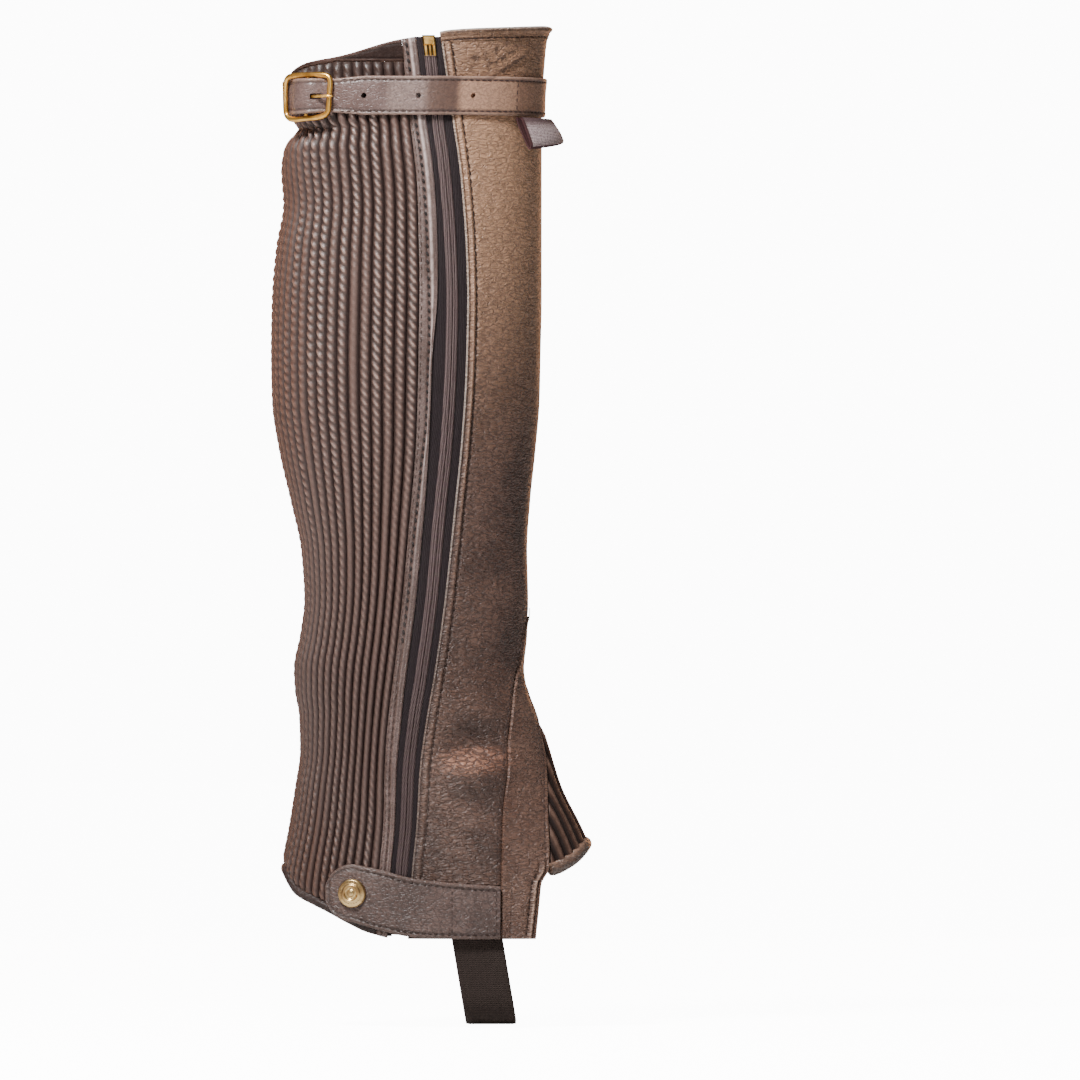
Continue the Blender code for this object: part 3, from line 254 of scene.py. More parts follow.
def make_piece(name, points, faces, cloth, finish, replaced=(), sharp=40.0):
    """Mesh piece in metres, its outside facing out, that rides on the half chap."""
    points = np.reshape(points, (-1, 3))
    mesh = bpy.data.meshes.new(name)
    mesh.from_pydata((points * MM).tolist(), [], [list(face) for face in faces])
    mesh.validate()
    tipped = sum(tip for depth, tip in worn_folds(points))
    for label, kind, key, values in (("cloth", "FLOAT_VECTOR", "vector", cloth),
                                     ("fold", "FLOAT", "value", tipped)):
        run = mesh.attributes.new(label, kind, "POINT")
        run.data.foreach_set(key, np.asarray(values, np.float32).ravel())
    mesh.calc_loop_triangles()
    corners = np.empty(len(mesh.loop_triangles) * 3, np.int32)
    mesh.loop_triangles.foreach_get("vertices", corners)
    a, b, c = (points[corners.reshape(-1, 3)[:, k]] for k in range(3))
    if (a * np.cross(b, c)).sum() < 0:
        mesh.flip_normals()
    mesh.shade_smooth()
    mesh.set_sharp_from_angle(angle=math.radians(sharp))
    mesh.materials.append(finish)
    piece = bpy.data.objects.new(name, mesh)
    bpy.context.scene.collection.objects.link(piece)
    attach(piece, "root")
    if replaced:
        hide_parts(*replaced)
    return piece


def numbered(shape, first=0):
    return first + np.arange(math.prod(shape)).reshape(shape)


def grid_quads(index):
    return np.stack((index[:-1, :-1], index[1:, :-1], index[1:, 1:], index[:-1, 1:]), -1).reshape(-1, 4)


def cloth_shell(name, outer, inner, quads, cloth, finish, replaced=(), sharp=40.0):
    """Closed cloth of two faces with the same points, joined round every open edge."""
    used, quads = np.unique(quads, return_inverse=True)
    quads = quads.reshape(-1, 4)
    outer, inner, cloth = (np.reshape(part, (-1, 3))[used] for part in (outer, inner, cloth))
    starts = quads.ravel()
    ends = np.roll(quads, -1, axis=1).ravel()
    count = len(outer)
    lone = ~np.isin(starts * count + ends, ends * count + starts)
    rims = np.stack((ends[lone], starts[lone], starts[lone] + count, ends[lone] + count), -1)
    faces = np.concatenate((quads, quads[:, ::-1] + count, rims))
    return make_piece(name, np.concatenate((outer, inner)), faces, np.concatenate((cloth, cloth)),
                      finish, replaced, sharp)


def cloth_grid(name, girth, height, lift_out, lift_in, edge, finish, replaced=(), sharp=40.0):
    """Closed cloth over a grid of girths and heights."""
    cloth = np.stack(np.broadcast_arrays(girth, height, edge), -1)
    girth, height = cloth[..., 0], cloth[..., 1]
    return cloth_shell(name, on_leg(girth, height, lift_out), on_leg(girth, height, lift_in),
                       grid_quads(numbered(girth.shape)), cloth, finish, replaced, sharp)


class Shading:
    """Node tree with short calls for the nodes that the finishes use."""

    def __init__(self, tree):
        self.tree = tree

    def feed(self, socket, value):
        """Link another node's output to a socket, or set the socket's own value."""
        if isinstance(value, bpy.types.NodeSocket):
            self.tree.links.new(value, socket)
        elif socket.type == "RGBA":
            socket.default_value = (*value, 1)
        else:
            socket.default_value = value

    def node(self, kind, inputs=(), **settings):
        made = self.tree.nodes.new("ShaderNode" + kind)
        for key, value in settings.items():
            setattr(made, key, value)
        for key, value in dict(inputs).items():
            self.feed(made.inputs[key], value)
        return made.outputs

    def sums(self, operation, *values):
        return self.node("Math", dict(enumerate(values)), operation=operation)[0]

    def times(self, first, second):
        return self.sums("MULTIPLY", first, second)

    def rated(self, value, rate, more):
        return self.sums("MULTIPLY_ADD", value, rate, more)

    def apart(self, first, second):
        return self.sums("ABSOLUTE", self.sums("SUBTRACT", first, second))

    def step(self, value, low, high, start=0.0, end=1.0):
        """Value moved smoothly from start to end while the input goes from low to high."""
        inputs = {"Value": value, "From Min": low, "From Max": high, "To Min": start, "To Max": end}
        return self.node("MapRange", inputs, interpolation_type="SMOOTHSTEP")[0]

    def blend(self, factor, first, second, mode="MIX"):
        inputs = {0: factor, 6: first, 7: second}
        return self.node("Mix", inputs, data_type="RGBA", blend_type=mode)[2]

    def noise(self, vector, scale, detail, space="2D", output="Fac", **more):
        inputs = {"Vector": vector, "Scale": scale, "Detail": detail, **more}
        return self.node("TexNoise", inputs, noise_dimensions=space)[output]

    def threads(self, run, width):
        return self.sums("SINE", self.times(run, 2 * math.pi / width))


class Finish(Shading):
    """Material that knows the run of the cloth: girth, height and distance from the edge."""

    def __init__(self, name, roughness, metallic=0.0, shine=0.5):
        self.made = bpy.data.materials.new(name)
        self.made.use_nodes = True
        super().__init__(self.made.node_tree)
        self.shader = self.tree.nodes["Principled BSDF"].inputs
        self.shader["Roughness"].default_value = roughness
        self.shader["Metallic"].default_value = metallic
        self.shader["Specular IOR Level"].default_value = shine
        self.run = self.node("Attribute", attribute_name="cloth")["Vector"]
        self.along, self.up, self.edge = self.node("SeparateXYZ", {0: self.run})

    def dressed(self, colour, relief, depth, strength=1.0, rough=None):
        """The material with its colour, relief of a depth in millimetres and roughness."""
        self.feed(self.shader["Base Color"], colour)
        if rough is not None:
            self.feed(self.shader["Roughness"], rough)
        bump = self.node("Bump", {"Height": relief, "Strength": strength, "Distance": depth * MM})
        self.feed(self.shader["Normal"], bump[0])
        return self.made


def new_group(name, inputs, outputs):
    """Node group with the cloth's run and some numbers going in, and masks coming out."""
    tree = bpy.data.node_groups.new(name, "ShaderNodeTree")
    tree.interface.new_socket("Run", in_out="INPUT", socket_type="NodeSocketVector")
    for label in inputs:
        tree.interface.new_socket(label, in_out="INPUT", socket_type="NodeSocketFloat")
    for label in outputs:
        tree.interface.new_socket(label, in_out="OUTPUT", socket_type="NodeSocketFloat")
    given, put = tree.nodes.new("NodeGroupInput").outputs, tree.nodes.new("NodeGroupOutput").inputs
    shading = Shading(tree)
    return tree, shading, given, put, shading.node("SeparateXYZ", {0: given["Run"]})


# Pebbled grain: flat cells wider than high, with a finer grain on them
leather_grain, grain, given, put, split = new_group("leather_grain", ("Width", "Height", "Wander"),
                                                    ("Relief", "Creases", "Patches"))
cells = grain.node("CombineXYZ", {0: grain.sums("DIVIDE", split[0], given["Width"]),
                                  1: grain.sums("DIVIDE", split[1], given["Height"])})[0]
wander = grain.noise(cells, 0.8, 2.0, output="Color")
wander = grain.node("VectorMath", {0: wander, 1: (0.5, 0.5, 0.5)}, operation="SUBTRACT")[0]
wander = grain.node("VectorMath", {0: wander, "Scale": given["Wander"]}, operation="SCALE")[0]
cells = grain.node("VectorMath", {0: cells, 1: wander}, operation="ADD")[0]
inward = grain.node("TexVoronoi", {"Vector": cells, "Scale": 1.0}, voronoi_dimensions="2D",
                    feature="DISTANCE_TO_EDGE")["Distance"]
drawn = grain.node("Mapping", {"Vector": cells, "Scale": (0.9, 1.15, 1.0)})[0]
drawn = grain.noise(drawn, 1.0, 1.0, Distortion=0.5)
relief = grain.rated(grain.step(inward, 0.0, 0.34), 0.42, drawn)
grain.feed(put["Relief"], grain.rated(grain.noise(cells, 4.0, 1.0), 0.02, relief))
creases = grain.sums("SUBTRACT", 1.0, grain.step(inward, 0.0, 0.20))
grain.feed(put["Creases"], grain.times(creases, grain.step(drawn, 0.62, 0.38)))
patches = grain.noise(given["Run"], 0.035, 3.0, Roughness=0.6)
grain.feed(put["Patches"], grain.step(patches, 0.3, 0.7))

# Sewn edge: a groove under the stitches, dimpled at each, and the ridge and rim of the turned edge, which
# are worn and carry a painted highlight
sewn_edge, sewn, given, put, split = new_group("sewn_edge", ("From Edge", "Pitch"),
                                               ("Groove", "WearAndSheen", "Rim"))
line = sewn.step(sewn.apart(split[2], given["From Edge"]), 0.0, 1.1, 1.0, 0.0)
beat = sewn.times(2 * math.pi, sewn.sums("DIVIDE", split[1], given["Pitch"]))
line = sewn.times(line, sewn.rated(sewn.sums("COSINE", beat), 0.35, 0.65))
fold_line = sewn.times(sewn.step(sewn.apart(split[2], 1.35), 0.1, 0.6, 0.8, 0.0),
                       sewn.step(given["From Edge"], 4.8, 5.0))
sewn.feed(put["Groove"], sewn.sums("MAXIMUM", line, fold_line))
sewn.feed(put["Rim"], sewn.step(split[2], 0.3, 1.1, 0.85, 0.0))
ridge = sewn.step(sewn.apart(split[2], sewn.times(given["From Edge"], 0.62)), 0.0, 1.1, 1.0, 0.0)
sewn.feed(put["WearAndSheen"], sewn.times(ridge, sewn.step(sewn.noise(given["Run"], 0.22, 4.0),
                                                   0.2, 0.55, 0.35, 1.0)))


def leather_finish(name, dark, light, roughness, cell=(3.8, 1.6), relief=0.85, from_edge=5.0,
                   pitch=3.84, wear_and_sheen=(0.36, 0.21, 0.14), rim=None, top_rub_and_sheen=0.55, base_rub_and_sheen=0.08,
                   upper=None, shine=0.42, tones=(), under=None):
    """Grained leather: painted shade in its hollows and grooves, paler with a painted highlight where it
    is worn, and painted light at its upper end.
    """
    tree = Finish(name, roughness, shine=shine)
    up = tree.up
    grain = tree.node("Group", {"Run": tree.run, "Width": cell[0], "Height": cell[1], "Wander": 1.7},
                      node_tree=leather_grain)
    sewn = tree.node("Group", {"Run": tree.run, "From Edge": from_edge, "Pitch": pitch},
                     node_tree=sewn_edge)
    shade = tuple(0.45 * value for value in dark)
    colour = tree.blend(grain["Patches"], dark, light)
    # Painted light: the upper part is painted paler, as if lit from above; the hem end is darker
    if upper:
        paler = tree.times(tree.step(up, -200.0, -20.0), tree.step(up, -8.0, 10.0, 1.0, 0.62))
        colour = tree.blend(paler, colour, upper)
        colour = tree.blend(tree.step(up, -400.0, -345.0, 0.35, 0.0), colour, shade)
    for place, tone in tones:
        colour = tree.blend(tree.step(tree.along, place - 2.5, place + 2.5), colour, tone)
    # Painted shade in the hollows of the grain, weaker near the top
    hollow = tree.step(grain["Relief"], 0.44, 0.92, 0.62, 0.0)
    hollow = tree.times(hollow, tree.step(up, -220.0, -40.0, 1.0, 0.6))
    colour = tree.blend(hollow, colour, shade)
    # Painted shade on the underside of a roll
    if under:
        colour = tree.blend(tree.step(tree.edge, *under, 0.85, 0.0), colour, shade)
    # Painted shade on the fold faces that tip down and a painted highlight on those that tip up
    fold = tree.node("Attribute", attribute_name="fold")["Fac"]
    colour = tree.blend(tree.step(fold, -0.04, -0.36, 0.0, 0.6), colour, shade)
    fold_highlight = tree.times(tree.step(fold, 0.05, 0.40, 0.0, 0.75),
                        tree.step(up, -200.0, -60.0, 1.0, 0.25))
    fold_highlight = tree.times(fold_highlight, tree.step(grain["Relief"], 0.55, 1.0, 0.35, 1.0))
    colour = tree.blend(fold_highlight, colour, (4.1, 3.7, 3.35), "MULTIPLY")
    # Worn ridge and rim of the sewn edge: paler wear with a painted highlight, stronger towards the top
    rub_and_sheen = tree.rated(tree.step(up, -260.0, -130.0), top_rub_and_sheen, base_rub_and_sheen)
    colour = tree.blend(tree.times(sewn["WearAndSheen"], rub_and_sheen), colour, wear_and_sheen)
    rimmed = tree.step(up, -300.0, -150.0, 0.18 + base_rub_and_sheen / 2, 0.85)
    colour = tree.blend(tree.times(sewn["Rim"], rimmed), colour, rim or wear_and_sheen)
    # Painted shade in the stitch groove and along the fold of the edge
    colour = tree.blend(tree.times(sewn["Groove"], 0.7), colour, shade)
    rough = tree.rated(grain["Creases"], 0.22, roughness - 0.04)
    rough = tree.rated(grain["Patches"], 0.08, rough)
    groove = tree.times(sewn["Groove"], 0.26 / relief)
    return tree.dressed(colour, tree.sums("SUBTRACT", grain["Relief"], groove), relief, rough=rough)


# Its paler upper colour is painted light; its rim and worn colours are wear with a painted highlight
brown_leather = leather_finish("brown_leather", (0.055, 0.028, 0.020), (0.104, 0.056, 0.040), 0.44,
                               upper=(0.385, 0.217, 0.130), rim=(0.30, 0.25, 0.22), top_rub_and_sheen=0.42)

# Rows of the panel: fanned to the hem, level between, fanned to the top edge
LEVEL_LOW, LEVEL_HIGH = -300.0, -10.0
BINDING_HEIGHT = 6.0
FAN_ROWS, NOTCH_ROWS, LEVEL_ROWS, TOP_ROWS = 42, 22, 96, 17
# A distance from the edge that no sewing reaches
FAR = 30.0
level_rows = np.concatenate((np.linspace(LEVEL_LOW, INSTEP_TOP, NOTCH_ROWS + 1)[:-1],
                             np.linspace(INSTEP_TOP, LEVEL_HIGH, LEVEL_ROWS)))
near_edge = np.array([0.0, 0.25, 0.6, 1.1, 1.8, 2.5, 3.2, 3.8, 4.4, 5.0, 5.6, 6.4, 7.5, 9.0])
# Height that a turned and stitched edge adds to the leather, by the distance from it
turned_edge = smooth_curve(((0.0, -0.5), (0.25, 0.15), (0.8, 0.5), (1.8, 0.15), (3.2, 0.85),
                            (4.2, 0.45), (5.0, -0.45), (5.8, 0.05), (7.5, 0.15), (9.0, 0.0)))


def notch(height):
    return instep_girth(height) + np.where(height < INSTEP_TOP - 0.01, SEAM / 2, 0.0)


def panel_half(start, end, spacing, edged=False):
    """Girths, heights and distances from the sewn edge of half a panel, from start to end."""
    shares = np.linspace(0, 1, spacing)
    low, high = (edge_height(between(start(section), end(section), shares))[:, None]
                 for edge_height, section in ((hem_height, HEM_SECTION), (top_height, TOP_SECTION)))
    high = high - BINDING_HEIGHT - SEAM
    height = np.concatenate((between(low, LEVEL_LOW, np.linspace(0, 1, FAN_ROWS + 1)[:-1]),
                             np.broadcast_to(level_rows, (spacing, len(level_rows))),
                             between(LEVEL_HIGH, high, np.linspace(0, 1, TOP_ROWS + 1)[1:])), axis=1)
    wide = np.abs(end(height) - start(height))
    away = wide * shares[:, None]
    if edged:
        count = len(near_edge)
        rest = np.linspace(0, 1, spacing - count + 1)[1:, None]
        away[:count] = near_edge[:, None]
        away[count:] = between(near_edge[-1], wide[count:], rest)
        away = np.minimum(away, wide)
    return start(height) + np.sign(end(height) - start(height)) * away, height, away


outer_half = panel_half(lambda z: leather_edge(z) - SEAM / 2, notch, 46, True)
inner_half = panel_half(lambda z: -notch(z), lambda z: calf_end(z) + SEAM / 2 - whole_girth(z), 66)
outer_index = numbered(outer_half[0].shape)
inner_index = numbered(inner_half[0].shape, outer_index.size)
apex_row = FAN_ROWS + NOTCH_ROWS
inner_index[0, apex_row:] = outer_index[-1, apex_row:]
girth, height, away = (np.concatenate([half[k].ravel() for half in (outer_half, inner_half)])
                       for k in range(3))
away[outer_index.size:] = FAR
# Along the instep seam the leather is turned in as well
seam_away = np.abs(np.abs(girth) - notch(height))
at_notch = (height < INSTEP_TOP) & (seam_away < near_edge[-1])
# The turned edge is pressed flatter towards the hem
rise = turned_edge(away) * (0.4 + 0.6 * np.clip((height + 330.0) / 160.0, 0.0, 1.0))
rise -= np.where(at_notch, 0.7 * hump(seam_away, 0.0, 0.5), 0.0)
leather_wrap = cloth_shell(
    "leather_wrap", on_leg(girth, height, LEATHER + rise), on_leg(girth, height),
    np.concatenate((grid_quads(outer_index), grid_quads(inner_index))),
    np.stack((girth, height, np.where(at_notch, seam_away + FAR, away)), -1),
    brown_leather, ("leather_panel",))


# Stitching of the wrap
# Bonded polyester thread, a lock stitch of about 3.8 mm, pulled into the leather so that each
# stitch lies in its own dimple, a little aslant.
STITCH_RINGS, STITCH_SIDES = 5, 6


def walked_along(path):
    """Distance walked from the start of a path to each of its points."""
    return np.concatenate(([0.0], np.cumsum(np.linalg.norm(np.diff(path, axis=0), axis=1))))


def ring_faces(count, size, closed=False):
    """Faces round rings of points, with flat ends unless the last ring meets the first."""
    index = numbered((count, size))
    around = np.concatenate((index, index[:, :1]), axis=1)
    if closed:
        return grid_quads(np.concatenate((around, around[:1]))).tolist()
    return grid_quads(around).tolist() + [index[0].tolist(), index[-1][::-1].tolist()]


def stitches_along(path, pitch, length, width, rise, slant):
    """Points of each stitch along a dense path of (girth, height, lift)."""
    spots = on_leg(*path.T)
    run = walked_along(spots)
    count = max(int(run[-1] / pitch), 1)
    places = (np.arange(count) + 0.5) * run[-1] / count
    girth, height, lift = (np.interp(places, run, values) for values in path.T)
    middle = on_leg(girth, height, lift)
    outward = on_leg(girth, height, lift + 1.0) - middle
    along = unit(np.stack([np.interp(places + 0.3, run, values) - np.interp(places - 0.3, run, values)
                           for values in spots.T], -1))
    across = np.cross(outward, along)
    turned = along * math.cos(slant) + across * math.sin(slant)
    side = across * math.cos(slant) - along * math.sin(slant)
    part = np.linspace(-1, 1, STITCH_RINGS)[:, None]
    thick = np.where(np.abs(part) < 1, 0.5 * np.sqrt(1 - np.abs(part) ** 3), 0.12) * width
    corner = 2 * math.pi * np.arange(STITCH_SIDES) / STITCH_SIDES
    lengthways, sideways, upwards = (values.reshape(-1, 1) for values in np.broadcast_arrays(
        part * length / 2, np.cos(corner) * thick,
        np.sin(corner) * thick + rise * (1 - 1.1 * part * part)))
    return (middle[:, None] + lengthways * turned[:, None] + sideways * side[:, None]
            + upwards * outward[:, None])


def sew(name, runs, finish, slot, pitch=3.84, length=2.9, width=0.62, rise=0.12, slant=0.0):
    """One piece of stitching along several paths."""
    points = np.concatenate([stitches_along(path, pitch, length, width, rise, slant)
                             for path in runs])
    faces = [[corner + number * points.shape[1] for corner in face]
             for number in range(len(points)) for face in stitch_faces]
    cloth = np.stack((points[..., 0] + points[..., 1], points[..., 2], points[..., 1] * 0), -1)
    return make_piece(name, points, faces, cloth, finish)


def line_down(girth_of, low, high, lift):
    height = np.linspace(low, high, 260)
    return np.stack((girth_of(height), height, np.full(len(height), lift)), -1)


def thread_finish(name, dark, light):
    """Twisted thread with a dull sheen."""
    tree = Finish(name, 0.6, shine=0.3)
    twist = tree.node("TexWave", {"Vector": tree.run, "Scale": 2.4, "Distortion": 0.4},
                      wave_type="BANDS", bands_direction="DIAGONAL")["Fac"]
    return tree.dressed(tree.blend(twist, dark, light), twist, 0.08, 0.6)


def back_line(z):
    return calf_end(z) + 3.2 - whole_girth(z)


stitch_faces = ring_faces(STITCH_RINGS, STITCH_SIDES)
BOTH_SIDES = np.array(((1, 1, 1), (-1, 1, 1)))
SEWN_LOW, THREAD_LIFT = -401.5, LEATHER - 0.05
FINE = {"pitch": 3.0, "length": 2.2, "width": 0.5}
brown_thread = thread_finish("brown_thread", (0.016, 0.009, 0.008), (0.050, 0.028, 0.021))
zip_stitches = line_down(lambda z: leather_edge(z) - 5.0, -373.0, 22.5, LEATHER - 0.12)
instep_stitches = line_down(lambda z: instep_girth(z) + 2.4, SEWN_LOW, -249.0, THREAD_LIFT)
back_low = float(hem_height(back_line(HEM_SECTION))) + 3.0
back_seam = line_down(back_line, back_low, 6.0, THREAD_LIFT)
sew("wrap_stitching", (zip_stitches,), brown_thread, "leather", slant=0.18)
sew("seam_stitching", (*(instep_stitches * side for side in BOTH_SIDES), back_seam), brown_thread,
    "leather", **FINE)


# Instep piece
# An A of the same leather set into the wrap over the instep: it runs down each side of the
# gusset to the hem, and a bar tack holds its point at the shin.
PIECE_LOW = -403.0
FLAP_ROWS, SIDE_ROWS = 13, 37


def instep_half(side):
    """Girths, heights, distances from the nearer seam and from the wrap of one side of the A."""
    height = np.concatenate((np.linspace(PIECE_LOW, FLAP_STEP, FLAP_ROWS + 1)[:-1],
                             np.linspace(FLAP_STEP, GUSSET_TOP, SIDE_ROWS + 1)[:-1],
                             np.linspace(GUSSET_TOP, INSTEP_TOP - 2.0, 16)))
    share = np.concatenate(([0.0, 0.03, 0.08, 0.14, 0.25, 0.4, 0.55, 0.66, 0.74],
                            np.linspace(0.78, 1.0, 18)))
    outside = np.maximum(instep_girth(height) - SEAM / 2, 0.2)
    inside = gusset_girth(height) + np.where(height < GUSSET_TOP - 0.01, SEAM / 2, 0.0)
    girth = between(outside, inside, share[:, None])
    from_wrap = np.abs(girth - outside)
    away = np.minimum(from_wrap, np.where(height < GUSSET_TOP, np.abs(girth - inside), FAR))
    return side * girth, np.broadcast_to(height, girth.shape), away, from_wrap


instep_leather = leather_finish("instep_leather", (0.092, 0.047, 0.033), (0.135, 0.074, 0.052), 0.44,
                                rim=(0.30, 0.19, 0.14), base_rub_and_sheen=0.7, wear_and_sheen=(0.30, 0.19, 0.14))
halves = [instep_half(1), instep_half(-1)]
first_index = numbered(halves[0][0].shape)
second_index = numbered(first_index.shape, first_index.size)
apex_row = FLAP_ROWS + SIDE_ROWS
second_index[-1, apex_row:] = first_index[-1, apex_row:]
girth, height, away, from_wrap = (np.concatenate([half[k].ravel() for half in halves])
                                  for k in range(4))
# Raised a little beside the wrap, rolled in at the gusset and piped twice on the free edge
rise = 0.55 * hump(from_wrap, 1.2, 0.9) - 0.6 * hump(away, 0.0, 0.35)
inner_edge = (from_wrap > 4.0) & (height < FLAP_STEP + 4.0)
doubled = (0.9 * hump(away, 0.7, 0.5) - 0.35 * hump(away, 1.6, 0.4)
           + 0.8 * hump(away, 3.0, 0.8) - 0.40 * hump(away, 5.0, 0.6))
rise += np.where(inner_edge, doubled, 0.45 * hump(away, 1.0, 0.8) * (from_wrap > 4.0))
instep_piece = cloth_shell(
    "instep_piece", on_leg(girth, height, LEATHER + rise), on_leg(girth, height),
    np.concatenate((grid_quads(first_index), grid_quads(second_index)[:, ::-1])),
    np.stack((girth, height, np.where(inner_edge, away, away + FAR)), -1),
    instep_leather, ("instep_panel",))

# Bar tack: close satin stitches across the seam's point
tack = [np.array([(side * 2.6, INSTEP_TOP + 1.6 - number * 0.55, LEATHER + 0.55 - 0.2 * abs(side))
                  for side in (-1, 0, 1)]) for number in range(11)]
sew("instep_bar_tack", tack, brown_thread, "leather", pitch=5.2, length=5.4, width=0.6)
flap_lines = (line_down(lambda z: gusset_girth(z) + 3.0, SEWN_LOW, -298.0, THREAD_LIFT),
              line_down(lambda z: gusset_girth(z) + 5.4, SEWN_LOW, -372.0, THREAD_LIFT))
sew("flap_stitching", [line * side for line in flap_lines for side in BOTH_SIDES], brown_thread,
    "leather", **FINE)


# Ribbed calf panel
# Stretch leather: thin hide sewn in narrow ribs over rows of elastic, which pull every rib into
# small slanting puckers, so it looks like rows of cord. It lets the calf flex.
CALF_RIBS, RIB_COLUMNS, RIB_ROWS = 22, 10, 408
RIB_VALLEY, PUCKER = 0.9, 4.3
HEM_BINDING, BAND_FOOT = 4.5, 16.0
LEAN_START, LEAN = -310.0, 0.12


def calf_girth(share, height):
    lean = np.clip((LEAN_START - height) / (LEAN_START - PIECE_LOW), 0, 1)
    share = share + LEAN * lean * share * (1 - share) ** 2
    return between(calf_start(height) + SEAM / 2, calf_end(height) - SEAM / 2, share)


def band_foot(share):
    return np.minimum(BAND_FOOT, top_height(calf_girth(share, TOP_SECTION)) - 2.6)


def noise_rows(shape, seed, smooth):
    """Even random values, smoothed along the last axis."""
    values = np.random.default_rng(seed).standard_normal(shape)
    reach = hump(np.arange(-3 * smooth, 3 * smooth + 1), 0, smooth)
    reach /= np.sqrt((reach ** 2).sum())
    return np.apply_along_axis(lambda row: np.convolve(row, reach, mode="same"), -1, values)


def rib_phases(seed, count):
    return np.random.default_rng(seed).uniform(0, 6.28, count)


def rib_body(across):
    """Rounded section of a rib: 0 in the valleys and 1 on its ridge."""
    return np.abs(np.sin(math.pi * across)) ** 0.62


columns = np.arange(CALF_RIBS * RIB_COLUMNS + 1) / RIB_COLUMNS
share = columns / CALF_RIBS
low = (hem_height(calf_girth(share, HEM_SECTION)) + HEM_BINDING + SEAM)[:, None]
high = (band_foot(share) - SEAM)[:, None]
height = between(low, high, np.linspace(0, 1, RIB_ROWS))
rib = np.minimum(columns.astype(int), CALF_RIBS - 1)
across = (columns - rib)[:, None]
phase = noise_rows((CALF_RIBS, RIB_ROWS), 11, 26)[rib] * 0.9 + rib_phases(5, CALF_RIBS)[rib][:, None]
strength = 0.75 + 0.35 * noise_rows((CALF_RIBS, RIB_ROWS), 23, 40)[rib]
level = smooth_curve(((-400.0, 0.95), (-350.0, 0.8), (-300.0, 0.5), (-220.0, 0.55), (-150.0, 1.0),
                      (-20.0, 1.15), (20.0, 1.0)))
strength = np.clip(strength * level(height), 0.15, 1.4)
wave = 2 * math.pi * height / PUCKER + phase
slanted = np.sin(wave - 7.0 * (across - 0.5)) * strength
body = rib_body(np.clip(across + 0.055 * np.sin(wave) * np.sin(math.pi * across) * strength, 0, 1))
end_fade = np.clip(np.minimum(high - height, height - low) / 3.0, 0.25, 1)
lift = RIB_VALLEY + (RIB_PEAK + 0.1 - RIB_VALLEY) * body * (0.55 + 0.45 * end_fade)
lift += 0.36 * slanted * body ** 1.2
# Where the ribs are rubbed and carry a painted highlight: their ridges, most on the puckers' tops
rub_and_sheen = np.clip(body ** 1.5 * (0.72 + 0.3 * slanted), 0, 1)


def ribbed_piece(name, girth, height, lift, rub_and_sheen, apart, finish, replaced):
    """Closed cloth with a fine outer grid and an inner one whose points stand further apart."""
    wide, tall = apart
    out = numbered(girth.shape)
    inn = numbered(girth[::wide, ::tall].shape, girth.size)
    faces = grid_quads(out).tolist() + grid_quads(inn)[:, ::-1].tolist()
    for number in range(inn.shape[0] - 1):
        low, high = number * wide, (number + 1) * wide
        faces.append([*out[low:high + 1, 0][::-1], inn[number, 0], inn[number + 1, 0]])
        faces.append([*out[low:high + 1, -1], inn[number + 1, -1], inn[number, -1]])
    for number in range(inn.shape[1] - 1):
        low, high = number * tall, (number + 1) * tall
        faces.append([*out[0, low:high + 1], inn[0, number + 1], inn[0, number]])
        faces.append([*out[-1, low:high + 1][::-1], inn[-1, number], inn[-1, number + 1]])
    cloth = np.stack((girth, height, rub_and_sheen), -1)
    inner_cloth = cloth[::wide, ::tall] * (1, 1, 0) + (0, 0, 0.5)
    points = [on_leg(girth, height, lift), on_leg(inner_cloth[..., 0], inner_cloth[..., 1])]
    points, cloth = (np.concatenate([part.reshape(-1, 3) for part in parts])
                     for parts in (points, (cloth, inner_cloth)))
    return make_piece(name, points, faces, cloth, finish, replaced, 75.0)


def ribbed_finish(name, valley, ridge, shine, gloss=0.5):
    """Thin leather over elastic: painted shade between the ribs, rubbed and with a painted highlight on
    top.
    """
    tree = Finish(name, 0.42, shine=gloss)
    up, on_ridge = tree.up, tree.edge
    grain = tree.node("Group", {"Run": tree.run, "Width": 1.1, "Height": 0.8, "Wander": 1.0},
                      node_tree=leather_grain)
    lower = tuple(0.7 * value for value in ridge)
    ridged = tree.blend(tree.step(up, -330.0, -170.0), lower, ridge)
    # Painted shade in the valleys between the ribs
    colour = tree.blend(tree.step(on_ridge, 0.25, 0.75), valley, ridged)
    # Painted highlight on the rubbed ridge tops, stronger higher up
    rub_and_sheen = tree.times(tree.rated(tree.step(up, -240.0, -110.0), 0.6, 0.4),
                        tree.step(on_ridge, 0.68, 1.0))
    # Round the back the ribs get less of the rubbed, painted highlight and a warmer, darker brown as
    # painted shade
    behind = tree.step(tree.along, 122.0, 158.0)
    rub_and_sheen = tree.times(rub_and_sheen, tree.rated(behind, -0.6, 1.0))
    colour = tree.blend(tree.times(rub_and_sheen, 0.68), colour, shine)
    colour = tree.blend(behind, colour, (0.96, 0.78, 0.66), "MULTIPLY")
    # Painted shade in the grain's creases
    colour = tree.blend(tree.times(grain["Creases"], 0.3), colour, valley)
    colour = tree.blend(tree.step(up, 2.0, 12.0, 0.0, 0.86), colour, valley)
    rough = tree.rated(tree.step(on_ridge, 0.3, 1.0), -0.25, 0.60)
    return tree.dressed(colour, grain["Relief"], 0.05, rough=rough)


stretch_leather = ribbed_finish("stretch_leather", (0.026, 0.013, 0.010), (0.102, 0.058, 0.046),
                                (0.36, 0.255, 0.22))
ribbed_calf = ribbed_piece("ribbed_calf", calf_girth(share[:, None], height), height, lift, rub_and_sheen,
                           (RIB_COLUMNS, 11), stretch_leather, ("calf_panel",))


